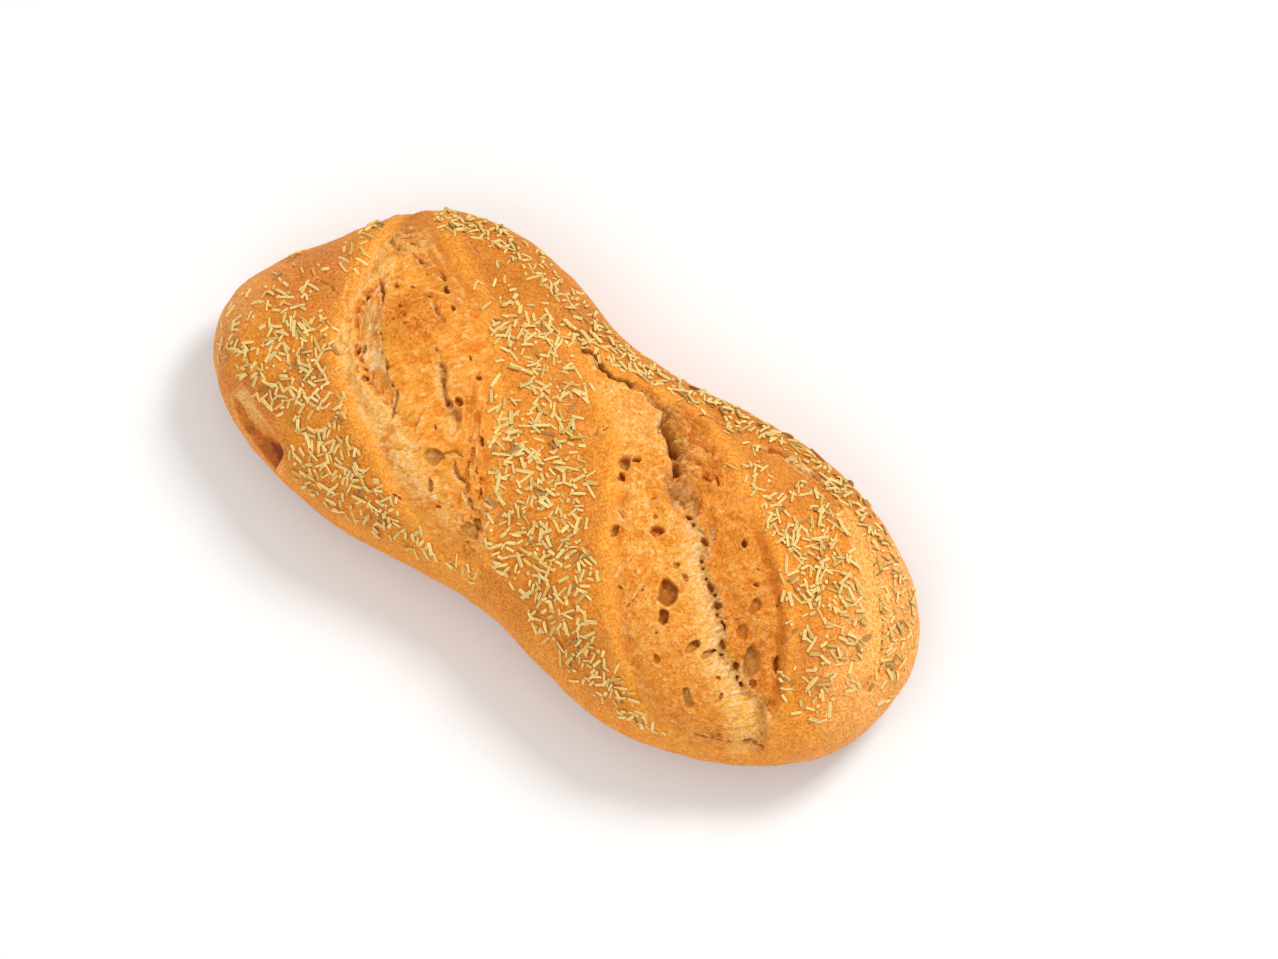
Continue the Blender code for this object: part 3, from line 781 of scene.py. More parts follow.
    def first_bloom(self):
        """The first slash: streaked slopes on both sides of a rough bulge."""
        plain = self.plain
        inside = self.first
        drift = np.stack([self.x - plain[:, 0], self.y - plain[:, 1], 0.0 * self.x], axis=1)
        cross = ridged(along(plain + 1.5 * drift, CROSS_STRANDS, 5.0, 2.0), 1.0, 31)
        down = ridged(along(plain + drift, DOWN_STRANDS, 8.0, 1.4), 1.0, 34)
        left_slope = ease(15.0, 9.0, self.first_left) * ease(-14.0, -4.0, self.y)
        right_wall = ease(13.0, 8.0, self.first_right) * ease(6.0, -4.0, self.y)
        steep = np.maximum(left_slope, right_wall)
        strands = cross * (1.0 - steep) + down * steep
        self.height += inside * (0.22 * strands + 0.34 * self.rough + 0.2 * self.ragged)
        self.tint(inside, "bloom")
        left_side = ease(17.0, 10.0, self.first_left) * ease(-50.0, -38.0, self.y)
        left_side *= ease(30.0, 18.0, self.y) * inside
        # Pale torn dough on the left slope, made paler still as a painted highlight, since that slope faces
        # away from the key light.
        self.tint(left_side, "bloom_pale", 0.9)
        self.tint(left_side * ease(-0.3, 0.6, down + 0.5 * self.ragged), "crumb", 0.7)
        beside = self.reach(BULGE_CREASE)
        crease_lip = ease(7.0, 3.0, beside[0]) * ease(0.5, -0.5, beside[1]) * inside
        self.tint(inside * ease(-25.0, -45.0, self.y), "slope", 0.2)
        right_side = ease(20.0, 10.0, self.first_right) * inside
        self.tint(right_side, "slope", 0.35)
        self.tint(right_side * ease(22.0, 34.0, self.y), "slope_deep", 0.8)
        self.tint(inside * ease(0.0, 0.7, strands + 0.5 * self.ragged), "bloom_pale", 0.8)
        self.tint(inside * ease(-0.35, -1.1, strands + 0.5 * self.rough), "bloom_deep", 0.9)
        streaked = self.patch(STREAKED_PATCH) * inside
        self.tint(crease_lip, "bloom_pale", 0.8)
        self.tint(streaked * ease(-0.5, 0.4, down), "cream", 0.9)
        self.tint(streaked * ease(-0.3, -1.0, down), "olive", 0.9)
        bulge = self.patch(BULGE) * inside
        self.tint(bulge, "bloom_deep", 0.75)
        self.height -= 0.6 * bulge * ease(-0.2, -1.0, self.crumb)
        self.tint(bulge * ease(0.0, -1.0, self.crumb), "rust", 0.6)
        self.tint(bulge * ease(0.0, 0.5, self.crumb), "bloom", 0.8)
        dashes = ease(-0.5, -1.0, self.strands(125.0, 7.0, 1.5, 46, 2))
        wall = right_wall * inside
        self.tint(wall * dashes, "rust", 0.85)
        self.height -= 0.8 * wall * dashes
        self.detail[:, 0] = inside
        self.detail[:, 1] = inside * (1.0 - bulge)
        self.detail[:, 2] = steep * inside

    def trough(self):
        """The sunken trough beside the bulge, under a cliff on one side and a crease on the other."""
        gap = inside_between(BULGE_CREASE, BULGE_CLIFF, self.x, self.y)
        inside = ease(-1.0, 2.0, gap + 1.5 * self.ragged) * self.first
        self.height -= TROUGH_DEPTH * inside
        strands = self.strands(116.0, 5.0, 1.5, 48)
        patches = fractal(self.plain, 4.5, 49)
        from_crease = self.reach(BULGE_CREASE)[0] + 1.5 * patches
        self.tint(inside, "bloom_deep", 0.7)
        grey = self.patch(GREY_PATCH) * inside * ease(0.8, 2.6, from_crease)
        self.tint(grey * ease(-0.6, 0.0, patches), "cream", 0.95)
        self.tint(grey * ease(0.1, -0.6, patches + 0.6 * strands), "olive", 0.45)
        self.tint(self.patch(CRUMB_PATCH) * inside, "crumb", 0.85)
        dull = self.patch(OLIVE_PATCH) * inside
        self.tint(dull * ease(-0.6, 0.3, self.ragged), "olive", 0.8)
        self.tint(inside * ease(0.1, 0.6, strands + 0.4 * self.ragged), "crumb", 0.6)
        self.tint(inside * ease(-0.5, -1.0, strands), "rust", 0.5)
        self.height += 0.6 * inside * strands
        mask, signed, fade = groove(BULGE_CREASE, 1.1, 0.8, self.x, self.y)
        self.height -= CREASE_DEPTH * fade * mask * self.top
        self.tint(ease(0.25, 0.8, mask) * ease(-0.6, 0.2, self.ragged) * self.top, "rust", 0.7)
        lip = bell(signed + 2.0, 1.2) * self.first
        self.height += 0.5 * lip
        self.tint(lip, "bloom_pale", 0.6)

    def second_bloom(self):
        """The second slash: a spongy slab on the tear's left and a rough slope on its right."""
        plain = self.plain
        inside = self.second
        strands = self.strands(64.0, 5.0, 1.6, 50)
        sponge = ridged(plain, 3.0, 53)
        self.height += inside * (0.18 * strands + 0.24 * sponge + 0.26 * self.rough)
        self.tint(inside, "bloom")
        self.tint(inside * ease(0.0, 0.5, sponge + 0.5 * self.ragged), "bloom_pale", 0.85)
        self.tint(inside * ease(-0.25, -1.1, sponge + 0.4 * self.rough), "bloom_deep", 0.9)
        self.tint(inside * ease(-12.0, -50.0, self.y), "slope", 0.5)
        self.tint(inside * self.patch(BRIGHT_PATCH), "bloom_pale", 0.35)
        self.detail[:, 0] = np.maximum(self.detail[:, 0], inside)
        self.detail[:, 1] = np.maximum(self.detail[:, 1], 0.35 * inside)

    def tear(self):
        """The second bloom's tear: a proud lip and a cliff on its left, a slope on its right."""
        gap, side, place = self.torn_reach(TEAR_PATH)
        signed = gap * side
        depth = np.interp(place, *zip(*TEAR_DEPTH))
        left_slope = np.interp(place, *zip(*TEAR_LEFT_SLOPE))
        right_slope = np.interp(place, *zip(*TEAR_RIGHT_SLOPE))
        beyond = ease(1.0, 0.985, place)
        cliff = ease(-left_slope, 0.5, signed)
        bed = ease(1.0, 0.05, signed / right_slope) ** 1.7
        lip = TEAR_LIP * bell(signed + left_slope + 1.5, 3.0)
        lip *= ease(0.0, 4.0, depth) * ease(0.62, 0.5, place)
        self.height += (lip - depth * cliff * bed * beyond) * self.top
        lean = ease(-5.0, -left_slope * 0.6, signed) * ease(0.6, -0.4, signed)
        lean *= ease(3.0, 8.0, depth) * ease(0.52, 0.44, place) * self.top
        self.push[:, 0] += 0.7 * TEAR_OVERHANG * lean
        self.push[:, 1] += 0.7 * TEAR_OVERHANG * lean
        lower = ease(0.5, 0.62, place) * self.second
        upper = ease(0.54, 0.46, place) * self.second
        slope_share = ease(2.0, 7.0, signed) * self.second
        self.tint(slope_share, "slope", 0.55)
        # Painted shade: the upper slope, which faces away from the key light, is darkened.
        self.tint(slope_share * upper, "slope_deep", 0.1)
        drawn = self.strands(-18.0, 7.0, 1.7, 77)
        frayed_slope = slope_share * upper
        close = ease(9.0, 4.0, signed + 1.5 * self.rough)
        self.height += slope_share * 0.4 * (1.1 * self.rough + 0.7 * self.ragged)
        coarse = 0.9 * self.rough + 0.8 * self.ragged + 0.6 * self.crumb + 0.8 * drawn
        self.height += frayed_slope * coarse
        self.tint(slope_share * ease(0.0, 0.5, self.crumb + 0.6 * self.rough), "bloom", 0.8)
        self.tint(frayed_slope * ease(0.0, -0.6, drawn), "slope_deep", 0.4)
        self.tint(frayed_slope * ease(0.0, 0.45, drawn), "bloom_pale", 0.5)
        # Painted shade: browner close to the tear's floor, broken by the drawn strands.
        self.tint(frayed_slope * close * ease(-0.1, -0.8, drawn), "brown", 0.6)
        self.tint(slope_share * ease(-0.4, -1.0, self.crumb), "rust", 0.6)
        gold = ease(0.5, 1.5, signed) * ease(9.0, 5.0, signed + 2.0 * self.rough) * lower
        self.tint(gold, "bloom_deep", 0.5)
        self.fibrous_band(signed, lower)
        frayed = signed + 1.3 * self.strands(64.0, 4.0, 1.0, 56, 2)
        fuzz = band(frayed, -7.0, -2.5, 0.8, 2.6) * lower
        self.tint(fuzz * (0.8 + 0.5 * self.ragged), "crumb", 0.75)
        olive = band(frayed, -3.0, -0.9, 0.9, 3.0) * lower
        self.tint(olive * (0.8 + 0.5 * self.ragged), "olive", 0.85)
        self.tint(olive * ease(0.1, 0.6, self.crumb), "crumb", 0.6)
        self.height += 0.5 * fuzz * self.crumb
        self.beads()
        deep = band(signed, -0.5, 0.6, 2.5, 9.0) * upper
        deep *= ease(3.0, 7.0, depth)
        self.tint(deep, "olive", 0.7)
        self.tint(deep * ease(-0.1, 0.4, self.crumb + 0.4 * drawn), "cream", 0.7)
        self.tint(deep * ease(-0.2, -0.9, self.crumb), "brown", 0.7)
        self.height += 0.8 * deep * self.crumb
        edge = bell(signed + 0.9, 0.7) * self.top * ease(0.1, 0.16, place)
        self.tint(edge * ease(0.56, 0.5, place), "crumb", 0.9)
        crack = ease(2.0, 1.0, gap + 0.4 * self.ragged) * ease(0.19, 0.175, place) * self.top
        self.tint(crack, "olive", 0.9)
        self.tint(crack * ease(-1.2, 0.2, signed + 0.5 * self.crumb), "brown", 0.9)

    def beads(self):
        """Holes strung along the floor of the tear's lower half, longest along the tear."""
        for bead_x, bead_y, half_width, half_length in BEADS:
            run, across = turned(self.torn_x - bead_x, self.torn_y - bead_y, BEAD_TURN)
            away = np.hypot(run / half_length, across / half_width)
            hole = ease(1.5, 0.7, away) * self.top
            self.tint(ease(2.4, 1.2, away) * self.top, "olive", 0.7)
            self.tint(hole, "brown", 0.9)
            self.height -= BEAD_DEPTH * hole

    def fibrous_band(self, signed, lower):
        """Pale strands of crumb that were drawn out beside the lower half of the tear."""
        strands = self.strands(66.0, 5.5, 1.2, 55)
        reach = signed + 3.0 * noise(self.plain, 8.0, 59) + 0.8 * strands
        drawn = ease(-13.0, -6.0, reach) * ease(0.6, -1.0, signed) * lower
        self.tint(drawn, "bloom_pale", 0.9)
        self.tint(drawn * ease(-0.2, -1.0, strands), "bloom", 0.5)
        self.tint(drawn * ease(-7.0, -2.0, signed) * ease(-0.1, 0.5, strands), "crumb", 0.8)
        near = drawn * ease(-5.0, -1.5, signed)
        self.tint(near * ease(0.1, -0.9, strands), "olive", 0.4)
        self.height += 0.4 * drawn * strands
        self.detail[:, 1] = np.maximum(self.detail[:, 1], drawn)

    def folds(self):
        """Raised folds: the one that crosses the tear, and the small ones of the first bloom, with a painted
        highlight on each crest and painted shade in the valley beside it.
        """
        gap, _, place = self.reach(CROSS_FOLD)
        ends = ease(1.0, 0.7, place) * self.top
        self.height += CROSS_FOLD_HEIGHT * bell(gap, 2.0) * ends
        self.tint(bell(gap, 1.6) * ends, "slope", 0.8)
        uneven = ease(-0.9, 0.7, noise(self.plain, 5.0, 79) + 0.5 * self.ragged)
        for path, height, half_width, valley_side in FOLDS:
            gap, side, place = self.reach(path)
            ends = band(place, 0.0, 0.2, 0.8, 1.0) * self.top
            crest = bell(gap, half_width) * ends * uneven
            beside = gap * side * valley_side - 1.7 * half_width
            valley = bell(beside, 0.8 * half_width) * ends * uneven
            self.height += height * (crest - 0.7 * valley)
            # Painted highlight on the crest, painted shade in the valley.
            self.tint(crest, "bloom_pale", 0.7)
            self.tint(valley * ease(-0.7, 0.3, self.ragged), "bloom_deep", 0.85)

    def end_cliff(self):
        """The step at the tear's end, where the right crust stands over a pale slope."""
        gap, side, place = self.reach(END_CLIFF)
        signed = gap * side
        sunk = band(signed, -15.0, -0.5, -0.4, 0.4)
        ends = band(place, 0.0, 0.06, 0.94, 1.0)
        self.height -= END_CLIFF_DEPTH * sunk * ends * self.top
        strands = self.strands(74.0, 6.5, 1.2, 58)
        pale = band(signed, -16.0, -9.0, -0.6, 0.2) * ends * self.top
        self.tint(pale, "bloom_pale", 0.9)
        self.tint(pale * ease(0.0, -1.0, strands), "cream", 0.7)
        self.height += 0.3 * pale * strands
        olive = band(signed, -3.5, -0.8, -0.3, 0.5) * ends * self.top
        self.tint(olive * (0.5 + 0.7 * self.ragged), "olive", 0.8)
        ridge_gap, ridge_side, _ = self.reach(RIGHT_RIDGE)
        self.height += RIGHT_RIDGE_HEIGHT * bell(ridge_gap, 2.6) * self.top
        behind = ridge_gap * ridge_side
        ditch = bell(behind - 3.9, 2.0) * ease(24.0, 10.0, self.y) * self.top
        self.height -= DITCH_DEPTH * ditch
        self.tint(ditch, "slope_deep", 1.0)

    def crevices(self):
        """Crevices of the first bloom: a pale gentle wall, a steep one, and a ragged dark line."""
        whole = noise(self.plain, 5.5, 71) + 0.4 * self.ragged
        for path, depth, left_width, right_width, broken in CREVICES:
            mask, signed, _ = groove(path, left_width, right_width, self.x, self.y)
            mask = mask * ease(1.2 * broken - 1.2, 1.2 * broken - 0.7, whole)
            self.height -= depth * mask * self.top
            gentle = ease(right_width * 1.9, right_width * 0.9, -signed) * ease(0.8, -0.2, signed)
            gentle *= ease(0.02, 0.2, mask) * self.top
            self.tint(gentle, "cream", 0.9)
            steep = ease(0.2, 0.6, mask) * ease(-0.2, 0.4, signed) * self.top
            self.tint(steep, "bloom_deep", 0.7)
            core = ease(0.5, 0.9, mask) * self.top
            self.tint(core, "olive", 0.8)
            dark = ease(0.7, 0.95, mask) * ease(0.1, 0.4, self.ragged) * self.top
            self.tint(dark, "brown", 0.6)
            self.height -= 0.7 * dark

    def cavities(self):
        """Deep holes down in the second bloom's tear."""
        for path, depth, half_width in CAVITIES:
            gap, _, _ = self.torn_reach(path)
            inside = ease(half_width + 0.5, half_width * 0.4, gap) * self.top
            self.height -= depth * inside
            self.tint(inside, "olive", 0.9)
            floor = inside * ease(half_width * 0.9, 0.2, gap)
            self.tint(floor, "cream", 0.5)
            # Painted shade: the deeper a hole, the browner its floor.
            self.tint(floor, "brown", 0.8 * ease(2.1, 3.0, depth))
        hollow = oval(*PALE_HOLLOW, self.torn_x, self.torn_y) * self.top
        self.tint(hollow * ease(-0.8, 0.0, self.crumb + 0.5 * self.rough), "cream", 0.85)
        self.tint(hollow * ease(0.0, -0.7, self.crumb + 0.5 * self.rough), "olive", 0.8)

    def pits(self):
        """Burst bubbles: uneven steep rims and smooth floors, with brown painted shade under the far rim and
        a painted highlight on the near rim.
        """
        rim_x = self.smooth_x + wander(self.plain, PIT_WOBBLE, (65, 67))
        rim_y = self.smooth_y + wander(self.plain, PIT_WOBBLE, (66, 68))
        for pit_x, pit_y, radius_x, radius_y, degrees, depth, shade in PITS:
            off_y = rim_y - pit_y
            run, across = turned(rim_x - pit_x, off_y, degrees)
            away = np.hypot(run / radius_x, across / radius_y)
            inside = ease(1.08, 0.76, away) * self.top
            sink = 1.0 + 0.35 * np.clip(off_y / radius_y, -1.0, 1.0)
            self.height -= depth * inside * sink
            self.height += 0.2 * bell(away - 1.25, 0.25) * self.top
            # Painted highlight: the near rim is paler.
            rim = bell(away - 1.2, 0.16) * self.top
            self.tint(rim * ease(0.3, -0.8, off_y / radius_y), "bloom_pale", 0.5)
            self.tint(ease(1.08, 0.85, away) * self.top, shade, 0.85)
            # Painted shade: the floor turns brown under the far rim.
            shadow = ease(1.0, 0.8, away) * ease(0.1, 0.7, off_y / radius_y) * self.top
            self.tint(shadow, "brown", 0.6)
            self.tint(ease(0.8, 0.2, away) * ease(-0.2, 0.5, self.ragged), "cream", 0.35)
            self.detail[:, 0] *= 1.0 - 0.7 * inside
            self.detail[:, 1] *= 1.0 - inside

    def cracks(self):
        """Fine cracks of the crust, with pale rims."""
        for path, depth, half_width in CRACKS:
            mask, signed, _ = groove(path, half_width * 1.2, half_width * 1.2, self.x, self.y)
            mask = mask * ease(-0.5, -0.1, self.ragged)
            self.height -= depth * mask * self.top
            gap = np.abs(signed)
            rim = ease(half_width + 1.3, half_width + 0.3, gap) * self.top
            self.tint(rim, "pale", 0.3)
            self.tint(ease(0.35, 0.8, mask) * self.top, "brown", 0.9)

    def right_end(self):
        """The right end's torn slot, its low fold and the loose flakes at the far side."""
        gap, side, _ = self.torn_reach(TORN_SLOT)
        inside = ease(TORN_SLOT_HALF_WIDTH + 0.4, TORN_SLOT_HALF_WIDTH - 0.4, gap) * self.top
        self.height -= TORN_SLOT_DEPTH * inside
        self.tint(ease(2.4, 1.4, gap) * self.top, "pale", 0.4)
        self.tint(inside, "rust", 0.8)
        # Painted shade: the slot's far half is browner, under its far wall.
        self.tint(inside * ease(0.0, 0.6, gap * side), "brown", 0.6)
        gap, _, place = self.torn_reach(TORN_STRANDS)
        strands = self.strands(20.0, 4.0, 0.9, 74, 2)
        frayed = ease(2.2, 1.0, gap) * ease(1.0, 0.6, place) * self.top
        self.tint(frayed * ease(-0.6, 0.2, strands), "crumb", 0.85)
        self.tint(frayed * ease(-0.4, -0.9, strands), "brown", 0.6)
        self.height += 0.7 * frayed * strands
        gap, side, place = self.reach(RIGHT_FOLD)
        ends = band(place, 0.0, 0.1, 0.7, 1.0) * self.top
        crest = bell(gap * side - 1.6, 1.7) * ends
        valley = bell(gap * side + 0.6, 0.9) * ends
        self.height += 0.6 * crest - 0.6 * valley
        self.tint(crest, "pale", 0.5)
        self.tint(valley * ease(-0.5, 0.4, self.ragged), "rust", 0.4)
        strip = ease(5.0, 2.5, self.reach(BARE_STRIP)[0]) * self.top
        self.tint(strip, "bloom_pale", 0.6)
        bubble_x, bubble_y = PALE_BUBBLE
        away = np.hypot(self.torn_x - bubble_x, self.torn_y - bubble_y)
        self.tint(ease(2.4, 1.0, away) * self.top, "cream", 0.7)
        for flake_x, flake_y, length, width, degrees, lift in FLAKES:
            run, across = turned(self.x - flake_x, self.y - flake_y, degrees)
            run = run / (length / 2)
            across = across / (width / 2)
            scrap = ease(1.05, 0.9, np.abs(run)) * ease(1.05, 0.85, np.abs(across))
            self.height += lift * scrap * ease(-1.0, 1.0, run)

    def pocket(self):
        """The torn pocket, which bites into the side where the crust already turns down."""
        gap, side, place = path_distance(POCKET_PATH, self.smooth_x, self.smooth_y)
        signed = gap * side
        ends = band(place, 0.0, 0.2, 0.93, 1.02)
        upper = ease(WIDEST_LEVEL - 1.0, WIDEST_LEVEL + 3.0, self.plain[:, 2])
        inside = ends * upper * np.exp(-(gap / POCKET_HALF_WIDTH) ** 4)
        self.height -= POCKET_DEPTH * inside * (0.6 + 0.4 * place)
        wall = ease(0.1, 0.5, inside)
        self.tint(wall, "cream", 0.7)
        towards = place + 0.04 * self.ragged - 0.05 * signed
        self.tint(wall * ease(0.3, 0.75, towards), "bloom_deep", 0.9)
        self.tint(wall * ease(0.62, 0.9, towards), "rust", 0.9)
        self.tint(wall * ease(0.72, 0.88, towards), "dark", 0.9)
        # Painted shade: a rust and brown line just inside the outer lip, under it.
        line = wall * ease(-1.7, -2.3, signed + 0.3 * self.ragged)
        self.tint(line, "rust", 0.9)
        self.tint(line * ease(-0.2, 0.5, noise(self.plain, 6.0, 80) + 0.6 * place), "brown", 0.9)
        lip = band(inside, 0.02, 0.15, 0.15, 0.4)
        self.tint(lip, "pale", 0.5)


def make_crust():
    """Build the crust as one mesh, with its colours kept on its points."""
    mesh = crust_sphere()
    plain = plain_loaf(read_vectors(mesh, "point"))
    write_points(mesh, plain * MM)
    normals = read_vectors(mesh, "normal")
    crust = Crust(plain, normals)
    formed = plain + normals * crust.height[:, None] + crust.push
    formed[:, 0] *= STRETCH_X
    formed[:, 1] *= STRETCH_Y
    formed[:, 2] = np.maximum(formed[:, 2], 0.0)
    write_points(mesh, formed * MM)
    paint(mesh, "tone", crust.color)
    paint(mesh, "detail", np.clip(crust.detail, 0.0, 1.0))
    mesh.shade_smooth()
    print(len(mesh.polygons), "faces of crust")
    loaf = bpy.data.objects.new("crust", mesh)
    bpy.context.scene.collection.objects.link(loaf)
    mesh.materials.append(crust_material())
    return loaf


def paint(mesh, layer_name, color):
    """Keep a colour on each of the mesh's points."""
    layer = mesh.color_attributes.new(layer_name, "FLOAT_COLOR", "POINT")
    values = np.ones((len(mesh.vertices), 4), np.float32)
    values[:, :3] = color
    layer.data.foreach_set("color", values.ravel())


def add_node(tree, kind, **values):
    """Add a shader node and set its plain inputs by name."""
    node = tree.nodes.new(kind)
    for name, value in values.items():
        node.inputs[name.replace("_", " ")].default_value = value
    return node


def layer_node(tree, layer_name):
    """Read one of the mesh's colour layers."""
    node = tree.nodes.new("ShaderNodeVertexColor")
    node.layer_name = layer_name
    return node.outputs["Color"]


def ramp_node(tree, source, stops):
    """Turn a grey value into a colour by a list of stops."""
    node = tree.nodes.new("ShaderNodeValToRGB")
    ramp = node.color_ramp
    while len(ramp.elements) < len(stops):
        ramp.elements.new(0.5)
    for element, (position, color) in zip(ramp.elements, stops):
        element.position = position
        element.color = (*color, 1.0)
    tree.links.new(source, node.inputs["Fac"])
    return node.outputs["Color"]


def mix_node(tree, factor, low, high, kind="RGBA", blend="MIX"):
    """Mix two values of a kind by a factor, which is a number or another node's output."""
    node = tree.nodes.new("ShaderNodeMix")
    node.data_type = kind
    node.blend_type = blend
    suffix = "Color" if kind == "RGBA" else "Float"
    sockets = {socket.identifier: socket for socket in node.inputs}
    results = {socket.identifier: socket for socket in node.outputs}
    if isinstance(factor, float):
        sockets["Factor_Float"].default_value = factor
    else:
        tree.links.new(factor, sockets["Factor_Float"])
    tree.links.new(low, sockets["A_" + suffix])
    tree.links.new(high, sockets["B_" + suffix])
    return results["Result_" + suffix]


def noise_node(tree, vector, **values):
    """Add a noise texture and give its grey value."""
    node = add_node(tree, "ShaderNodeTexNoise", **values)
    tree.links.new(vector, node.inputs["Vector"])
    return node.outputs["Fac"]


def start_material(name, roughness, specular):
    """Begin a material: give it, its tree of nodes and its shader."""
    material = bpy.data.materials.new(name)
    material.use_nodes = True
    tree = material.node_tree
    shader = tree.nodes["Principled BSDF"]
    shader.inputs["Roughness"].default_value = roughness
    shader.inputs["Specular IOR Level"].default_value = specular
    return material, tree, shader


def dress_shader(tree, shader, tint, relief, strength, distance):
    """Colour a shader by the mesh's own tones times a tint, and give it a fine relief."""
    tinted = mix_node(tree, 1.0, layer_node(tree, "tone"), tint, "RGBA", "MULTIPLY")
    tree.links.new(tinted, shader.inputs["Base Color"])
    bump = add_node(tree, "ShaderNodeBump", Strength=strength, Distance=distance)
    tree.links.new(relief, bump.inputs["Height"])
    tree.links.new(bump.outputs["Normal"], shader.inputs["Normal"])


def strand_noise(tree, place, degrees, length, width):
    """Noise drawn out into strands at an angle in plan."""
    stretch = tree.nodes.new("ShaderNodeMapping")
    stretch.vector_type = "TEXTURE"
    stretch.inputs["Rotation"].default_value = (0.0, 0.0, math.radians(degrees))
    stretch.inputs["Scale"].default_value = (length * MM, width * MM, width * MM)
    tree.links.new(place, stretch.inputs["Vector"])
    return noise_node(
        tree, stretch.outputs["Vector"], Scale=1.0, Detail=1.5, Roughness=0.8, Distortion=0.5)


def crust_material():
    """Baked crust with a fine speckled skin, and torn dough with strands and crumb."""
    material, tree, shader = start_material("baked_crust", roughness=0.62, specular=0.2)
    place = tree.nodes.new("ShaderNodeTexCoord").outputs["Object"]
    split = tree.nodes.new("ShaderNodeSeparateColor")
    tree.links.new(layer_node(tree, "detail"), split.inputs["Color"])
    torn, stranded, steep = split.outputs["Red"], split.outputs["Green"], split.outputs["Blue"]

    skin = noise_node(tree, place, Scale=SKIN_SCALE, Detail=1.0, Roughness=0.8)
    crumb = noise_node(tree, place, Scale=CRUMB_SCALE, Detail=1.0, Roughness=0.8, Distortion=0.6)
    cross = strand_noise(tree, place, CROSS_STRANDS, 6.0, 1.1)
    down = strand_noise(tree, place, DOWN_STRANDS, 8.0, 1.0)
    strands = mix_node(tree, steep, cross, down, "FLOAT")
    long_dough = mix_node(tree, 0.55, crumb, strands, "FLOAT")
    dough = mix_node(tree, stranded, crumb, long_dough, "FLOAT")

    skin_tint = ramp_node(tree, skin, SKIN_STOPS)
    dough_tint = ramp_node(tree, dough, DOUGH_STOPS)
    tint = mix_node(tree, torn, skin_tint, dough_tint)
    skin_relief = mix_node(tree, 0.6, skin, cross, "FLOAT")
    relief = mix_node(tree, torn, skin_relief, dough, "FLOAT")
    dress_shader(tree, shader, tint, relief, strength=1.0, distance=CRUST_RELIEF)
    return material


def needle_material(name):
    """Dried leaf: its own tones, faintly grained."""
    material, tree, shader = start_material(name, roughness=0.55, specular=0.25)
    place = tree.nodes.new("ShaderNodeTexCoord").outputs["Object"]
    grain = noise_node(tree, place, Scale=NEEDLE_SCALE, Detail=3.0, Roughness=0.6)
    tint = ramp_node(tree, grain, NEEDLE_STOPS)
    dress_shader(tree, shader, tint, grain, strength=0.3, distance=NEEDLE_RELIEF)
    return material


# Section of one needle, in shares of its half width and half height, with a groove on top
NEEDLE_SECTION = (
    (-0.8, -1.0), (0.8, -1.0), (1.0, 0.3), (0.62, 1.0), (0.0, 0.45), (-0.62, 1.0), (-1.0, 0.3),
)
NEEDLE_STATIONS = 5
# Painted light on each needle: the lighter tone is a painted highlight, full on the two top ridges; the
# other is painted shade, half on the groove and sides, full underneath.
SECTION_LIGHT = (0.0, 0.0, 0.5, 1.0, 0.5, 1.0, 0.5)     # share of the lighter tone at each of those


def needle_mesh_data(needles):
    """Lay out all points, faces and colours of a list of needles."""
    ring = len(NEEDLE_SECTION)
    points = []
    faces = []
    colors = []
    for needle in needles:
        base = len(points)
        for station in range(NEEDLE_STATIONS):
            t = station / (NEEDLE_STATIONS - 1)
            along_it = (t - 0.5) * needle["length"]
            bend = needle["bend"] * (4.0 * (t - 0.5) ** 2 - 0.5)
            taper = 1.0 - needle["taper"] * (2.0 * abs(t - 0.5)) ** 3
            middle = needle["point"] + needle["along"] * along_it + needle["across"] * bend
            middle = middle + needle["normal"] * (needle["arch"] * (1.0 - 4.0 * (t - 0.5) ** 2))
            # Each point mixes the needle's painted shade and its painted highlight by its place round the
            # section.
            for (wide, high), light in zip(NEEDLE_SECTION, SECTION_LIGHT):
                offset = needle["across"] * (wide * needle["width"] * 0.5 * taper)
                offset = offset + needle["normal"] * (high * needle["thick"] * 0.5 * taper)
                points.append(middle + offset)
                share = light * needle["highlight_share"]
                colors.append(needle["side"] * (1.0 - share) + needle["top"] * share)
        for station in range(NEEDLE_STATIONS - 1):
            for k in range(ring):
                a = base + station * ring + k
                b = base + station * ring + (k + 1) % ring
                faces.append((a, b, b + ring, a + ring))
        faces.append(tuple(base + k for k in reversed(range(ring))))
        last = base + (NEEDLE_STATIONS - 1) * ring
        faces.append(tuple(last + k for k in range(ring)))
    return np.array(points), faces, np.array(colors)


def needle_spots(draw):
    """Draw places in the patches where needles fell, off the blooms and the bare wall."""
    spots = []
    for patch_x, patch_y, radius_x, radius_y, count in NEEDLE_PATCHES:
        for _ in range(round(count * NEEDLE_SHARE)):
            reach = draw.uniform(0.0, 1.0) ** 0.6 * 1.25
            turn = draw.uniform(0.0, 2.0 * math.pi)
            spot_x = patch_x + radius_x * reach * math.cos(turn)
            spot_y = patch_y + radius_y * reach * math.sin(turn)
            spots.append((spot_x, spot_y))
    spots = np.array(spots)
    x, y = spots[:, 0], spots[:, 1]
    gap, near = outline_gap(x, y)
    keep = (bloom_gap(x, y) < NEEDLE_BLOOM_OVERLAP) & (np.abs(x) < NEEDLE_FARTHEST)
    keep &= gap > np.where(near, BARE_BAND, FAR_BAND)
    keep &= path_distance(BARE_STRIP, x, y)[0] > BARE_STRIP_HALF_WIDTH
    keep &= path_distance(POCKET_PATH, x, y)[0] > POCKET_HALF_WIDTH + 1.0
    return spots[keep]


def bounded_draw(draw, spread):
    """Draw a size from a bell curve, cut off at its least and greatest."""
    mean, deviation, least, greatest = spread
    return min(max(draw.gauss(mean, deviation), least), greatest)


def sheaf_turn(x, y):
    """The direction that the needles round one place tend to share."""
    return 3.0 * math.sin(x / 9.0 + 0.7) * math.cos(y / 7.0) + 2.0 * math.sin((x + y) / 5.0)


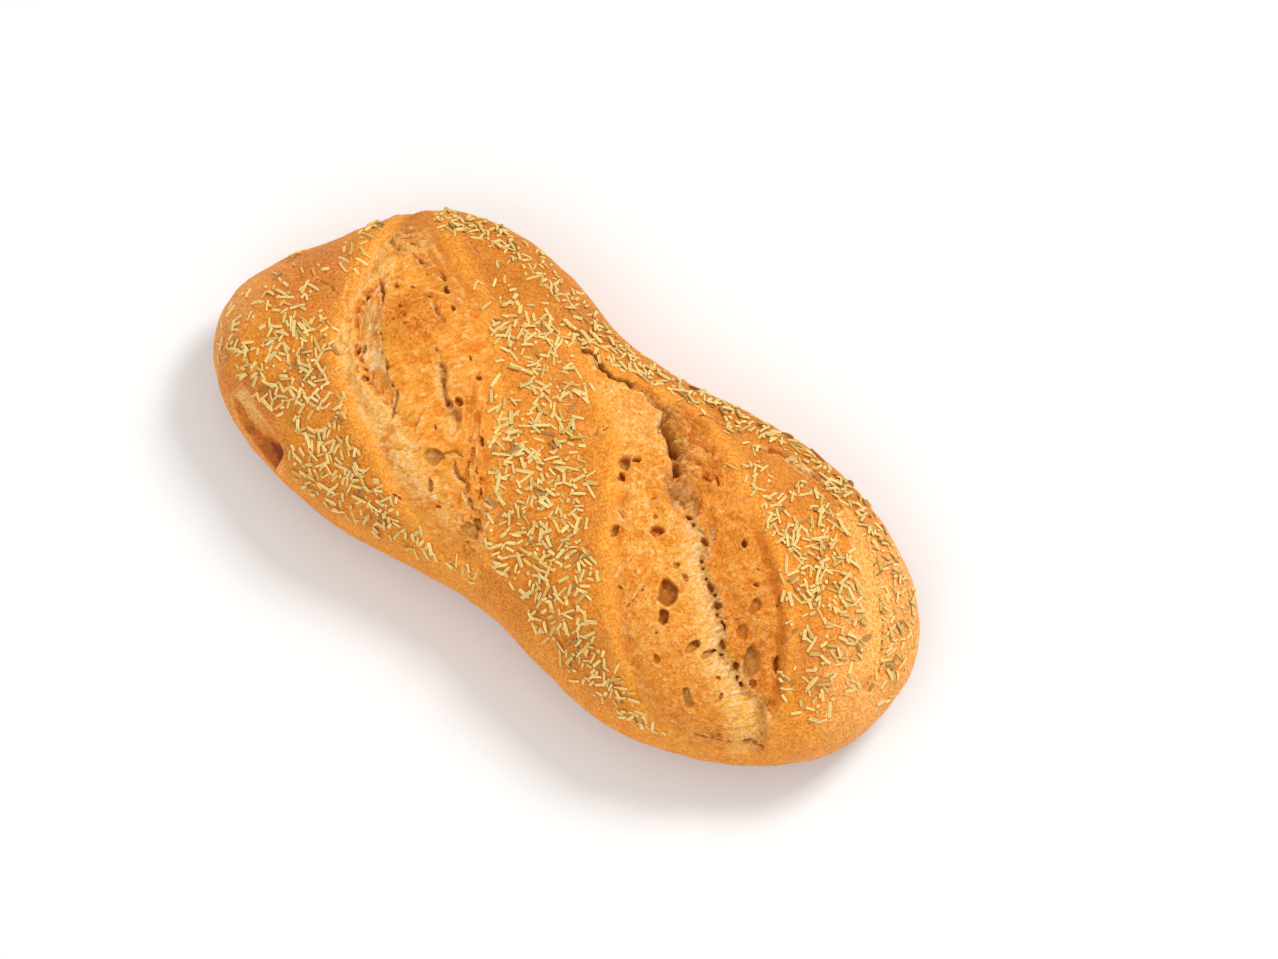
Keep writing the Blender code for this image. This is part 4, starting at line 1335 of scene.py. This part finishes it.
def lay_needles(crust):
    """Lay each needle on the crust between the heights under its two ends."""
    draw = random.Random(NEEDLE_SEED)
    tree = BVHTree.FromObject(crust, bpy.context.evaluated_depsgraph_get())
    down = Vector((0.0, 0.0, -1.0))
    kinds = {kind: [] for kind in NEEDLE_KINDS}
    placed = []
    for x, y in needle_spots(draw):
        gaps = [math.hypot(x - a, y - b) for a, b in placed]
        crowd = [gap for gap in gaps if gap < NEEDLE_SPACING]
        if len(crowd) > 1 or min(crowd, default=NEEDLE_SPACING) < NEEDLE_CLASH:
            continue
        turn = sheaf_turn(x, y) + draw.gauss(0.0, NEEDLE_TURN_SPREAD)
        length = bounded_draw(draw, NEEDLE_LENGTH)
        ends = []
        for sign in (-0.5, 0.5):
            end_x = x + sign * NEEDLE_FOOTING * length * math.cos(turn)
            end_y = y + sign * NEEDLE_FOOTING * length * math.sin(turn)
            hit, normal, _, _ = tree.ray_cast(Vector((end_x * MM, end_y * MM, 0.2)), down)
            if hit is not None:
                ends.append((np.array(hit) / MM, np.array(normal)))
        if len(ends) < 2 or min(end[1][2] for end in ends) < NEEDLE_LEAST_SLOPE:
            continue
        step = ends[1][0] - ends[0][0]
        if np.linalg.norm(step) > 1.5 * length:
            continue
        placed.append((x, y))
        step = step / np.linalg.norm(step)
        normal = ends[0][1] + ends[1][1]
        normal = normal - step * normal.dot(step)
        normal = normal / np.linalg.norm(normal)
        across = np.cross(normal, step)
        roll = draw.gauss(0.0, NEEDLE_ROLL_SPREAD)
        rolled = normal * math.cos(roll) + across * math.sin(roll)
        width = bounded_draw(draw, NEEDLE_WIDTH)
        thick = width * draw.uniform(0.55, 0.85)
        lift = thick * NEEDLE_LIFT + NEEDLE_STACK * len(crowd)
        kind = draw.choices(list(NEEDLE_KINDS), weights=list(NEEDLE_KINDS.values()))[0]
        kinds[kind].append({
            "point": (ends[0][0] + ends[1][0]) / 2.0 + normal * lift,
            "along": step,
            "across": np.cross(rolled, step),
            "normal": rolled,
            "length": length,
            "width": width,
            "thick": thick,
            "bend": draw.gauss(0.0, 0.14) * (length / 6.0) ** 2,
            "arch": abs(draw.gauss(0.0, 0.15)),
            "taper": draw.uniform(0.03, 0.22),
            # Share of the painted highlight, then the lit tone and the tone of painted shade.
            "highlight_share": draw.uniform(0.85, 1.0),
            "top": TONE[kind] * draw.uniform(0.84, 1.12),
            "side": TONE[kind + "_side"] * draw.uniform(0.8, 1.1),
        })
    return kinds


def make_needles(crust):
    """Make one mesh of each kind of needle."""
    pieces = []
    for kind, needles in lay_needles(crust).items():
        points, faces, colors = needle_mesh_data(needles)
        mesh = bpy.data.meshes.new(f"needles_{kind}")
        mesh.from_pydata((points * MM).tolist(), [], faces)
        paint(mesh, "tone", colors)
        mesh.shade_smooth()
        mesh.set_sharp_from_angle(angle=math.radians(50.0))
        mesh.materials.append(needle_material(f"dried_{kind}"))
        piece = bpy.data.objects.new(f"needles_{kind}", mesh)
        bpy.context.scene.collection.objects.link(piece)
        pieces.append(piece)
        print(kind, len(needles), "needles")
    return pieces


def make_camera():
    """Look down on the loaf as the photograph does."""
    azimuth = math.radians(CAMERA_AZIMUTH)
    elevation = math.radians(CAMERA_ELEVATION)
    back = Vector((
        math.sin(azimuth) * math.cos(elevation),
        -math.cos(azimuth) * math.cos(elevation),
        math.sin(elevation),
    ))
    data = bpy.data.cameras.new("camera")
    data.lens = CAMERA_LENS
    data.sensor_width = SENSOR_WIDTH
    camera = bpy.data.objects.new("camera", data)
    camera.location = Vector(CAMERA_TARGET) + back * CAMERA_DISTANCE
    camera.rotation_mode = "QUATERNION"
    camera.rotation_quaternion = (-back).to_track_quat("-Z", "Y")
    bpy.context.scene.collection.objects.link(camera)
    bpy.context.scene.camera = camera


def camera_axes():
    """The photograph's right and far directions along the floor."""
    azimuth = math.radians(CAMERA_AZIMUTH)
    right = Vector((math.cos(azimuth), math.sin(azimuth), 0.0))
    away = Vector((-math.sin(azimuth), math.cos(azimuth), 0.0))
    return right, away


def make_light(name, place, size, watts):
    """Add a soft square light that faces the loaf."""
    right, away = camera_axes()
    data = bpy.data.lights.new(name, "AREA")
    data.size = size
    data.energy = watts
    light = bpy.data.objects.new(name, data)
    light.location = right * place[0] + away * place[1] + Vector((0.0, 0.0, place[2]))
    light.rotation_mode = "QUATERNION"
    light.rotation_quaternion = (-light.location).to_track_quat("-Z", "Y")
    bpy.context.scene.collection.objects.link(light)


def make_studio():
    """Pale floor, soft lights and an even sky."""
    bpy.ops.mesh.primitive_plane_add(size=FLOOR_SIZE)
    floor = bpy.context.active_object
    floor.name = "floor"
    material, _, shader = start_material("floor", roughness=0.9, specular=0.1)
    shader.inputs["Base Color"].default_value = FLOOR_COLOR
    floor.data.materials.append(material)
    for light in LIGHTS:
        make_light(*light)
    world = bpy.data.worlds.new("sky")
    world.use_nodes = True
    sky = world.node_tree.nodes["Background"]
    sky.inputs["Color"].default_value = (1.0, 1.0, 1.0, 1.0)
    sky.inputs["Strength"].default_value = SKY_STRENGTH
    bpy.context.scene.world = world
    bpy.context.scene.view_settings.view_transform = "Standard"


crust = make_crust()
needles = make_needles(crust)
for piece in [crust] + needles:
    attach(piece, "root")
    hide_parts("loaf")
make_camera()
make_studio()
